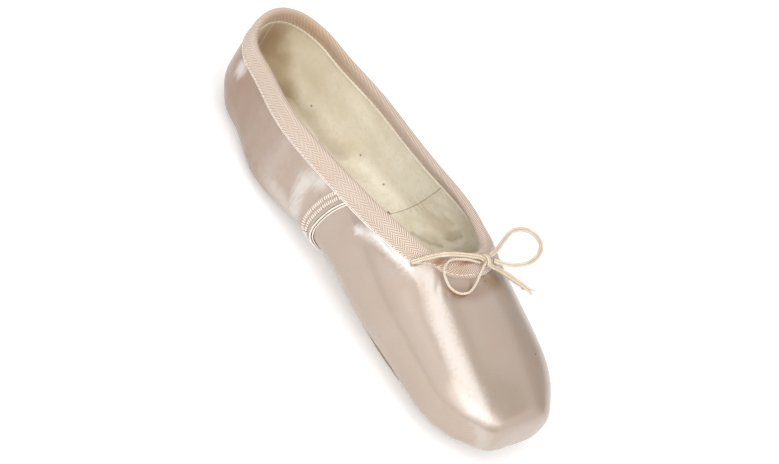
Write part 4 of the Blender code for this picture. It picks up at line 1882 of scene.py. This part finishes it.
@dataclass
class Inside:
    """The canvas lining and the sock on the board.

    Attributes:
        last: The form, whose inner skin the lining covers.
        rise: How far the lining stands off that skin.
        thick: The canvas's thickness.
        counts: The lining's rows that end at the collar, and those that end on the middle line.
        folds: Its creases and the slack between them.
        seam_line: Its side seam, as heights and lengths along the shoe, in millimetres.
    """

    last: Last
    rise: float = 0.15 * MM
    thick: float = 0.4 * MM
    counts: tuple[int, int] = (190, 48)
    folds: tuple[Fold, ...] = (
        Fold(((121, 27.5, 12.6), (124.5, 28.7, 13.3), (128.5, 30.3, 14.6), (133.4, 32.9, 17.4)), 1.4, -0.8),
        Fold(((121, 30.5, 16.5), (126, 32.2, 17.5), (131, 33.8, 20)), 2.2, 1),
        Fold(((131, 34.6, 20.5), (135.2, 34.7, 22.8), (138.3, 34.2, 30.2)), 1.3, -0.9),
        Fold(((130, 34.4, 25), (133, 34.4, 28.5), (135, 34, 34)), 2, 1),
        Fold(((138, 34.8, 21), (141, 34.9, 25.5), (143.5, 34.3, 29.5)), 1.8, 0.8),
        Fold(((123, 33, 31), (128, 33, 32), (132, 33, 32)), 1.8, 0.8),
        Fold(((140, 33, 20), (146, 34, 26), (150, 34, 33)), 2.6, -0.9),
        Fold(((146, 33, 18), (152, 34, 24), (156, 34, 31)), 2.2, 0.8),
        Fold(((119, 31, 22), (122, 32, 27)), 2, 0.3),
        Fold(((112, 32, 30), (118, 32, 33), (124, 32, 36)), 1.8, 0.45),
        Fold(((114, 32, 24), (120, 33, 26), (127, 33, 28)), 1.8, 0.4),
        Fold(((60, 31, 14), (80, 32, 13), (100, 32, 14)), 4, -0.5),
        Fold(((40, 28, 30), (60, 31, 26), (84, 32, 24)), 5, 0.5),
        Fold(((50, 30, 38), (74, 31, 35), (96, 31, 36)), 3, 0.35),
    )
    seam_line: tuple[tuple[float, float], ...] = (
        (8, 104), (12.6, 105.9), (16.5, 107.3), (23.2, 110.1), (31.8, 113.1), (39.2, 115.9), (48, 119),
    )

    def lining(self) -> Piece:
        """The lining: both halves, joined at the heel and under the vamp.

        Returns:
            The lining.
        """
        last = self.last
        toe = [(along, along, math.pi) for along in np.linspace(Last.TOE_CENTRE, Last.END, 32)[1:]]
        halves = []
        for side in Side:
            rows = last.rows(last.inner, side, Last.BACK, self.counts) + toe
            places, normals = last.laid(last.inner, side, rows, (90, 56))
            lift = self.rise + self.seams(places) + total_lift(self.folds, places)
            places = lifted(places, normals, lift)
            places[self.counts[0] :, -1, 1] = 0.0
            places[0, :, 1] = 0.0
            places[-1] = places[-1].mean(axis=0) * [1, 0, 1]
            halves.append(Bench.sheet("half", places, flat_map(places), turned=side is Side.LEFT))
        return Bench.joined("canvas_lining", halves, WELD, self.thick)

    def seams(self, places: Array) -> Array:
        """The lift of the lining's seams: down the back of the heel, and at each side.

        Args:
            places: The places.

        Returns:
            The lift of each place.
        """
        along, high = self.last.along_of(places), places[..., 2]
        off = along - self.seam_at(high)
        pucker = 0.5 * MM * np.sin(high / MM * 2.4) * bump(np.abs(off), 1.9 * MM, 1.5 * MM)
        side = 0.4 * MM * bump(off, 0.8 * MM, 0.6 * MM) - 0.35 * MM * bump(off, -0.4 * MM, 0.5 * MM)
        back = (along - Last.BACK) - 0.6 * MM
        heel = 0.55 * MM * bump(back, 0.4 * MM, 0.8 * MM) - 0.2 * MM * bump(back, 2.0 * MM, 0.8 * MM)
        return side + pucker + heel

    def seam_at(self, high: Array) -> Array:
        """How far along the shoe the lining's side seam lies at these heights."""
        heights, lengths = zip(*self.seam_line)
        return np.interp(high / MM, heights, lengths) * MM

    def threads(self) -> list[Piece]:
        """The sunk lines of the lining's seams: one at each side, and one down the heel.

        Returns:
            The lines.
        """
        last = self.last
        pieces = []
        for place, side, start in (
            ("right", Side.RIGHT, self.seam_line[0][1] * MM),
            ("left", Side.LEFT, self.seam_line[0][1] * MM),
            ("heel", Side.LEFT, Last.BACK),
        ):
            top = last.top_angle(last.inner, side, start) - 0.06
            angles = np.linspace(last.start_angle(last.inner, side, start), top, 60)
            line = last.line(last.inner, side, start, angles)
            for _ in range(2 if place != "heel" else 0):
                line = last.line(last.inner, side, self.seam_at(line[:, 2]), angles)
            line, normals = last.inner.near(smooth_line(line[::3], 0.5 * MM))
            path = lifted(line, normals, self.rise + 0.14 * MM)
            pieces.append(tube(f"lining_seam_{place}", path, 0.26 * MM))
        return pieces

    def sock(self) -> Piece:
        """The sock: a sheet on the board, rounded down at its edge.

        Returns:
            The sock.
        """
        last = self.last
        low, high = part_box("insole")
        lengths = low.x + (high.x - low.x) * (1 - np.cos(np.linspace(0, math.pi, 150))) / 2
        lengths[0] += 0.3 * MM
        lengths[-1] -= 0.3 * MM
        spread = np.sin(np.linspace(-math.pi / 2, math.pi / 2, 49))
        grid = []
        for x in lengths:
            top = last.board_high(x)
            start = Vector((x, 0, top - 0.5 * MM))
            casts = [last.board.ray_cast(start, Vector((0, side.value, 0))) for side in Side]
            width = min(cast[3] if cast[0] is not None else 1.0 * MM for cast in casts) + 0.2 * MM
            edge = np.clip((1 - np.abs(spread)) * width / (1.2 * MM), 0, 1)
            fall = 0.35 * MM * (1 - np.sqrt(1 - (1 - edge) ** 2))
            hollow = wander(np.array([x * 160]), 2.0) * 0.15 * MM
            heights = top + 0.35 * MM - fall + hollow * (1 - spread**2)
            grid.append(np.column_stack([np.full(len(spread), x), spread * width, heights]))
        places = np.array(grid)
        return Bench.sheet("sock", places, places[..., :2], 0.5 * MM, turned=True)


# ---- the sole ----


@dataclass
class Outsole:
    """The leather sole: a plate with a cut edge, small pressed squares and two pressed frames.

    Attributes:
        last: The form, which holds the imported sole.
        thick: The leather's thickness.
        spacing: How far apart the outline's points are.
        square: The side of one small square.
        pitch: How far apart the squares are.
        point: How far along the shoe the patch of squares starts, at its point.
        patch_length: How long that patch is.
    """

    last: Last
    thick: float = 2.5 * MM
    spacing: float = 1.0 * MM
    square: float = 2.95 * MM
    pitch: float = 3.7 * MM
    point: float = 132.0 * MM
    patch_length: float = 66.0 * MM

    def outline(self) -> Array:
        """The outline of the sole's underside, as a closed row of points.

        Returns:
            The points, counterclockwise from above.
        """
        parts = Bench.cut_apart("outsole", 40.0)
        big = [part for part in parts if part.dimensions.x > 150 * MM and part.dimensions.y > 30 * MM]
        loop = closed(Last.edge_loop(min(big, key=lambda part: points_of(part)[:, 2].mean())))
        Bench.discard(*parts)
        loop = even_line(loop, round(travelled(loop)[-1] / self.spacing) + 1)[:-1]
        loop = evened(loop, 6)
        loop[:, 1] *= 1 - 0.05 * step(loop[:, 0], 24 * MM, 44 * MM)
        area = np.sum(loop[:, 0] * np.roll(loop[:, 1], -1) - np.roll(loop[:, 0], -1) * loop[:, 1])
        return loop if area > 0 else loop[::-1]

    def under(self, x: float, y: float) -> float:
        """The height of the sole's underside at x and y.

        Args:
            x: The place along the shoe.
            y: The place across it.

        Returns:
            The height.
        """
        place, _, _, _ = self.last.sole.ray_cast(Vector((x, y, -0.05)), UP)
        if place is None:
            place, _, _, _ = self.last.sole.find_nearest(Vector((x, y, 0.0)))
        return place.z

    def leather(self) -> Piece:
        """The plate: rings from the underside's middle over the cut edge to the upper face.

        Returns:
            The plate.
        """
        loop, top = self.outline(), self.thick
        spine = loop * [1, 0, 0]
        spine[:, 0] = np.clip(spine[:, 0], Last.HEEL_CENTRE - FORM_HALF, 190 * MM - FORM_HALF)
        reach = np.linalg.norm((loop - spine)[:, :2], axis=1)
        rings = [(share, None, 0.0) for share in (1.0, 0.8, 0.6, 0.4, 0.25, 0.12)]
        rings += [(0.0, 1.6 * MM, 0.0), (0.0, 0.8 * MM, 0.0), (0.0, 0.35 * MM, 0.06 * MM)]
        rings += [(0.0, 0.1 * MM, 0.22 * MM), (0.0, 0.0, 0.5 * MM), (0.0, 0.0, top * 0.5)]
        rings += [(0.0, 0.0, top - 0.4 * MM), (0.0, 0.12 * MM, top - 0.12 * MM)]
        rings += [(0.0, 0.45 * MM, top), (0.0, 3.0 * MM, top), (0.6, None, top), (1.0, None, top)]
        inward = (spine - loop) / reach[:, None]
        rough = wander(np.arange(len(loop)) * 0.9, 3.0) * 0.12 * MM
        grid, depths = [], []
        for share, inset, rise in rings:
            far = reach * share if inset is None else np.full(len(loop), inset)
            spots = loop + inward * far[:, None]
            spots = spots - inward * (rough * (rise > 0.05 * MM))[:, None]
            probes = loop + inward * np.maximum(far, 1 * MM)[:, None]
            heights = np.array([self.under(x, y) for x, y, _ in probes])
            grid.append(closed(np.column_stack([spots[:, :2], heights + rise])))
            depths.append(closed(far if rise < 0.1 * MM else far * 0))
        flat = paired(travelled(closed(loop)), np.stack(depths))
        return Bench.sheet("leather_sole", np.stack(grid), flat, turned=True)

    def squares(self) -> Piece:
        """The pressed squares under the ball, set as diamonds, in a patch with a point to the heel.

        Returns:
            The squares, as one piece.
        """
        tile = self.one_square()
        tiles = []
        pace = self.pitch / math.sqrt(2)
        spots = [(row, column) for row in range(-8, 9) for column in range(36) if (row + column) % 2 == 0]
        for row, column in spots:
            ahead, y = column * pace, row * pace
            if not abs(y) * 0.95 <= ahead <= self.patch_length - abs(row) % 3 * pace:
                continue
            x = self.point + ahead - FORM_HALF
            Bench.pick(tile)
            bpy.ops.object.duplicate()
            tiles.append(bpy.context.active_object)
            slope = self.under(x + 1 * MM, y) - self.under(x - 1 * MM, y)
            places = points_of(tiles[-1])
            places[:, 2] += places[:, 0] * slope / (2 * MM) + self.under(x, y)
            Bench.move_points(tiles[-1], places + [x, y, 0.0])
        Bench.discard(tile)
        return Bench.joined("sole_squares", tiles)

    def one_square(self) -> Piece:
        """One small raised square, with its edge rounded as by wear.

        Returns:
            The square, about the origin.
        """
        Bench.pick()
        bpy.ops.mesh.primitive_plane_add(size=self.square)
        tile = bpy.context.active_object
        with Bench.editing(tile):
            bpy.ops.transform.rotate(
                value=math.radians(45), orient_axis="Z", center_override=(0.0, 0.0, 0.0)
            )
            bpy.ops.mesh.flip_normals()
            bpy.ops.mesh.inset(thickness=0.28 * MM, depth=0.1 * MM)
            bpy.ops.mesh.inset(thickness=0.2 * MM, depth=0.04 * MM)
            bpy.ops.mesh.inset(thickness=0.45 * MM, depth=-0.05 * MM)
        return tile

    def frames(self) -> list[Piece]:
        """The two empty frames pressed into the leather, under the heel and at the waist.

        Returns:
            The frames.
        """
        pieces = []
        for name, middle, length, width in (("heel", 47.0, 40.0, 13.0), ("waist", 82.0, 7.0, 15.0)):
            corners = [(-1, -1), (1, -1), (1, 1), (-1, 1), (-1, -1)]
            line = from_heel([(middle + a * length / 2, b * width / 2, 0.0) for a, b in corners])
            line = even_line(line, 160)
            line[:, 2] = [self.under(x, y) - 0.02 * MM for x, y, _ in line]
            line[:-1, :2] = evened(line[:-1, :2], 2)
            line[-1] = line[0]
            pieces.append(tube(f"frame_{name}", line, 0.3 * MM))
        return pieces


# ---- the drawstring ----


@dataclass
class Drawstring:
    """The braided cord: its stretch along the throat, and its bow.

    Attributes:
        width: The cord's width.
        thick: Its thickness.
        facing: The way that its flat side mostly faces.
        knot: The knot's middle, in millimetres from the heel, as the routes are.
        string: The stretch along the throat.
        left_loop: The left loop, which goes on into the short end.
        right_loop: The right loop, which goes back into the knot.
        long_end: The end that the stretch goes on into.
        short_end: The end of the left loop's cord.
    """

    width: float = 2.1 * MM
    thick: float = 1.25 * MM
    facing: Point = (0.35, -0.6, 0.72)
    knot: Point = (171.4, 5.2, 58.3)
    string: Route = (
        (158.9, -27, 50.6), (160.9, -22.6, 54.5), (162.6, -16.2, 57.4), (164.7, -9.6, 58.8),
        (167.1, -3.2, 59.1), (169.9, 2.7, 59.4),
    )
    left_loop: Route = (
        (171.2, 2.7, 57.2), (169.2, -1.6, 57.7), (167.4, -6.9, 57.8), (166.3, -12.2, 57),
        (168.6, -16.6, 55.2), (172.3, -17.8, 53.8), (176.6, -16.6, 51.7), (180.3, -13.5, 51.3),
        (181.4, -9.1, 52.2), (179.3, -4.4, 53.6), (176, -0.6, 56.6), (173.4, 2.7, 59),
    )
    right_loop: Route = (
        (170.3, 7.7, 59.7), (168.3, 13.4, 60.3), (164.5, 20.6, 61.2), (161.8, 26.8, 62),
        (161.7, 32, 62.6), (163.8, 36.2, 63), (168.1, 38.1, 63.1), (172.9, 37.1, 62.8),
        (177.1, 32.2, 62.1), (179.2, 25.6, 61.4), (179, 19.9, 60.8), (177, 13.6, 60.3),
        (173.2, 7.7, 60),
    )
    long_end: Route = (
        (173.9, 7.7, 57.2), (176.2, 11.4, 56.4), (178.3, 14.8, 55.2), (181.6, 18.6, 54),
        (185, 22.3, 52.8), (187.8, 25.9, 51.3),
    )
    short_end: Route = (
        (171.1, 7.7, 56.8), (173.6, 11.9, 54.2), (177.4, 16.7, 52.5), (180.8, 20.4, 51.3),
        (184.1, 24, 50.3),
    )

    def braid(self, name: str, line: Array, frayed: bool, on_edge: bool = False) -> Piece:
        """The cord along a line: flat, hollow down its middle, with the strands' small relief.

        Args:
            name: The piece's name.
            line: The line that the cord follows.
            frayed: True if its far end is cut, so that its fibres spread.
            on_edge: True if it stands on its narrow side.

        Returns:
            The cord.
        """
        along = unit(np.gradient(line, axis=0))
        face = np.array(self.facing)
        side = np.broadcast_to(face, along.shape).copy() if on_edge else unit(np.cross(along, face))
        for _ in range(12):
            side[1:-1] = unit(side[:-2] + side[1:-1] * 2 + side[2:])
        side = unit(side - along * (side * along).sum(axis=1, keepdims=True))
        front = unit(np.cross(side, along))
        turn = np.linspace(0.0, math.tau, 25)
        far = travelled(line)[:, None]
        width = self.width / 2 * (1 + 0.05 * np.sin(far / MM * 0.9))
        plait = np.sin(far / MM * math.pi + turn * 3) * 0.045 * MM
        groove = 1 - 0.65 * bump(np.cos(turn), 0.0, 0.26)
        end = np.ones((len(line), 1))
        end[[0, 1, -2, -1]] = [[0.0], [0.8], [0.8], [0.0]]
        across = np.cos(turn) * (width + plait) * end
        deep = np.sin(turn) * (self.thick / 2 * groove + plait) * end
        flat = paired(far, turn * (self.width + self.thick) / 4)
        cord = Bench.sheet(name, swept(line, side, front, across, deep), flat)
        if not frayed:
            return cord
        fibres = []
        for number in range(14):
            turn = number * 2.4
            reach = 0.35 + 0.25 * math.sin(number * 1.9)
            spread = side[-1] * math.cos(turn) * 0.42 + front[-1] * math.sin(turn) * 0.25
            root = line[-1] - along[-1] * 0.8 * MM + spread * self.width * 0.7
            tip = root + (along[-1] * (1.6 + reach * 2) + spread * (1.2 + reach)) * MM
            middle = (root + tip) / 2 + spread * 0.25 * MM
            fibres.append(tube("fibre", smooth_line([root, middle, tip], 0.3 * MM), 0.16 * MM, 5))
        return Bench.joined(name, [cord, *fibres])

    def wrap(self) -> Piece:
        """The turn of cord that holds the bow together.

        Returns:
            The wrap.
        """
        turns = np.linspace(0.0, math.tau * 1.06, 70)
        lean = (turns / math.tau - 0.5) * 1.1 * MM
        ring = np.stack([np.cos(turns) * 2.7 * MM, lean, np.sin(turns) * 2.65 * MM], axis=1)
        line = from_heel([self.knot]) + ring
        front = unit(ring * [1, 0, 1])
        side = np.cross(front, unit(np.gradient(line, axis=0)))
        turn = np.linspace(0.0, math.tau, 21)
        end = np.ones((len(line), 1))
        end[[0, -1]] = 0.0
        deep = np.sin(turn) * 0.6 * MM * (1 - 0.4 * bump(np.cos(turn), 0.0, 0.3)) * end
        places = swept(line, side, front, np.cos(turn) * 0.95 * MM * end, deep)
        flat = paired(travelled(line)[:, None], turn * 1.1 * MM)
        return Bench.sheet("bow_wrap", places, flat, turned=True)

    def build(self) -> None:
        finish = Braid()
        wrap = dress(self.wrap(), finish, "cord", "bow_knot")
        first, second = self.string + self.long_end, self.left_loop + self.short_end
        for name, route, far_end, on_edge, held, nodes in (
            ("cord_long", first, "bare", False, (wrap,), ("drawstring", "bow_end_long")),
            ("cord_short", second, "bare", True, (), ("bow_loop_left", "bow_end_short")),
            ("cord_loop_right", self.right_loop, "object", False, (), ("bow_loop_right",)),
        ):
            line = smooth_line(from_heel(route), 0.3 * MM)
            cord = dress(self.braid(name, line, far_end == "bare", on_edge), finish, "cord", *nodes)


# ---- the studio ----


@dataclass
class Studio:
    """The floor, the lights and the camera.

    Attributes:
        azimuth: The camera's bearing round the shoe, in degrees from +X towards +Y.
        elevation: Its height above the floor's plane, in degrees.
        roll: How far it is turned about its own line of sight, in degrees.
        distance: How far it is from the point that it looks at.
        aim: That point.
        lens: The focal length in millimetres, for a sensor 36 mm wide.
        shift: The lens's shift, which puts the shoe in the middle of the picture.
    """

    azimuth: float = -58.0
    elevation: float = 38.4
    roll: float = 33.6
    distance: float = 0.8333
    aim: Point = (-0.0015, 0.0, 0.025)
    lens: float = 82.8
    shift: tuple[float, float] = (0.0104, -0.0127)

    def camera(self) -> None:
        """Adds the camera."""
        turn, lift, roll = (math.radians(a) for a in (self.azimuth, self.elevation, self.roll))
        back = Vector((math.cos(lift) * math.cos(turn), math.cos(lift) * math.sin(turn), math.sin(lift)))
        level = UP.cross(back).normalized()
        upright = back.cross(level)
        right = level * math.cos(roll) + upright * math.sin(roll)
        bpy.ops.object.camera_add()
        camera = bpy.context.active_object
        up = upright * math.cos(roll) - level * math.sin(roll)
        self.pose(camera, back * self.distance, (right, up, back))
        camera.data.sensor_width = 36.0
        camera.data.lens = self.lens
        camera.data.shift_x, camera.data.shift_y = self.shift
        camera.data.clip_start = 0.01
        bpy.context.scene.camera = camera

    def pose(self, obj: Piece, off: Vector, axes: tuple[Vector, Vector, Vector]) -> None:
        """Puts a camera or light this far off the aim, with its own axes along these directions."""
        turned = Matrix(axes).transposed().to_quaternion()
        obj.matrix_world = Matrix.LocRotScale(Vector(self.aim) + off, turned, None)

    def light(
        self,
        name: str,
        place: Point,
        size: tuple[float, float],
        glow: float,
        turn: float = 0.0,
    ) -> None:
        """Adds a soft box that faces the shoe, with its width about along the shoe.

        Args:
            name: The light's name.
            place: Where it is, from the point that the camera looks at.
            size: Its width and height, in metres.
            glow: How bright its face is, where a white floor in full light is 1.
            turn: How far its width is turned from the shoe's length, seen from above.
        """
        way = Vector(place).normalized()
        level = Vector((math.cos(turn), math.sin(turn), 0.0))
        level = (level - way * way.dot(level)).normalized()
        bpy.ops.object.light_add(type="AREA")
        lamp = bpy.context.active_object
        lamp.name = name
        self.pose(lamp, Vector(place), (level, way.cross(level), way))
        lamp.data.shape = "RECTANGLE"
        lamp.data.size, lamp.data.size_y = size
        lamp.data.energy = glow * size[0] * size[1] * math.pi

    def build(self) -> None:
        """Adds all of the studio."""
        Bench.pick()
        self.camera()
        self.light("overhead_strip", (0.4, -0.48, 0.96), (2.0, 0.74), 2.15, -0.3)
        self.light("front_fill", (0.15, -1.3, 0.6), (2.6, 1.1), 0.9)
        self.light("side_box", (-0.42, -1.0, 0.8), (0.5, 0.4), 2.3)
        self.light("toe_box", (0.75, -0.75, 0.6), (0.8, 0.7), 1.3)
        self.light("back_box", (-0.25, 0.65, 1.0), (1.5, 1.1), 0.6)
        self.light("far_toe_box", (1.05, 0.5, 0.38), (1.9, 1.1), 0.6, 2.0)
        bpy.ops.mesh.primitive_grid_add(x_subdivisions=8, y_subdivisions=8, size=6.0)
        floor = bpy.context.active_object
        floor.name = "floor"
        floor.data.materials.append(Floor().material())
        floor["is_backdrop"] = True
        world = bpy.data.worlds.new("studio")
        world.use_nodes = True
        background = world.node_tree.nodes["Background"]
        background.inputs["Color"].default_value = (1.0, 1.0, 1.0, 1.0)
        background.inputs["Strength"].default_value = 0.38
        bpy.context.scene.world = world
        bpy.context.scene.view_settings.view_transform = "Standard"


# ---- the shoe ----


def main() -> None:
    """Builds the studio and the shoe, piece by piece."""
    Studio().build()
    Drawstring().build()
    last = Last()
    satin, thread, canvas, leather = Satin(), Thread(), Canvas(), SoleLeather()
    slit = Thread("seam_slit", (0.44, 0.31, 0.23), (0.36, 0.25, 0.18))
    brown = Thread("brown_thread", (0.62, 0.53, 0.38), (0.50, 0.41, 0.28))
    cover, binding, inside, sole = SatinCover(last), Binding(last), Inside(last), Outsole(last)
    dress(cover.quarters(), satin, "satin", "upper")
    dress(cover.vamp(), satin, "satin")
    dress(cover.back_strip(), satin, "satin")
    for side in Side:
        for piece in cover.seam_work(side):
            dress(piece, slit if "slit" in piece.name else thread, "satin")
    tape = binding.tape()
    dress(tape, Twill(width=binding.width), "twill_tape", "collar_binding")
    dress(binding.stitches(), thread, "twill_tape")
    dress(inside.lining(), canvas, "canvas")
    dress(inside.sock(), canvas, "canvas", "insole")
    dress(binding.roll(), canvas, "canvas")
    dress(inside.threads(), brown, "canvas")
    dress(sole.leather(), leather, "sole_leather", "outsole")
    dress(sole.squares(), SoleLeather("pressed_leather", sole.square), "sole_leather")
    dress(sole.frames(), leather, "sole_leather")
    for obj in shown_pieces():
        if obj.type == "MESH":
            LOG.info("%s: %d faces", obj.name, len(obj.data.polygons))


if __name__ == "__main__":
    logging.basicConfig(level=logging.INFO, format="%(name)s: %(message)s")
    main()
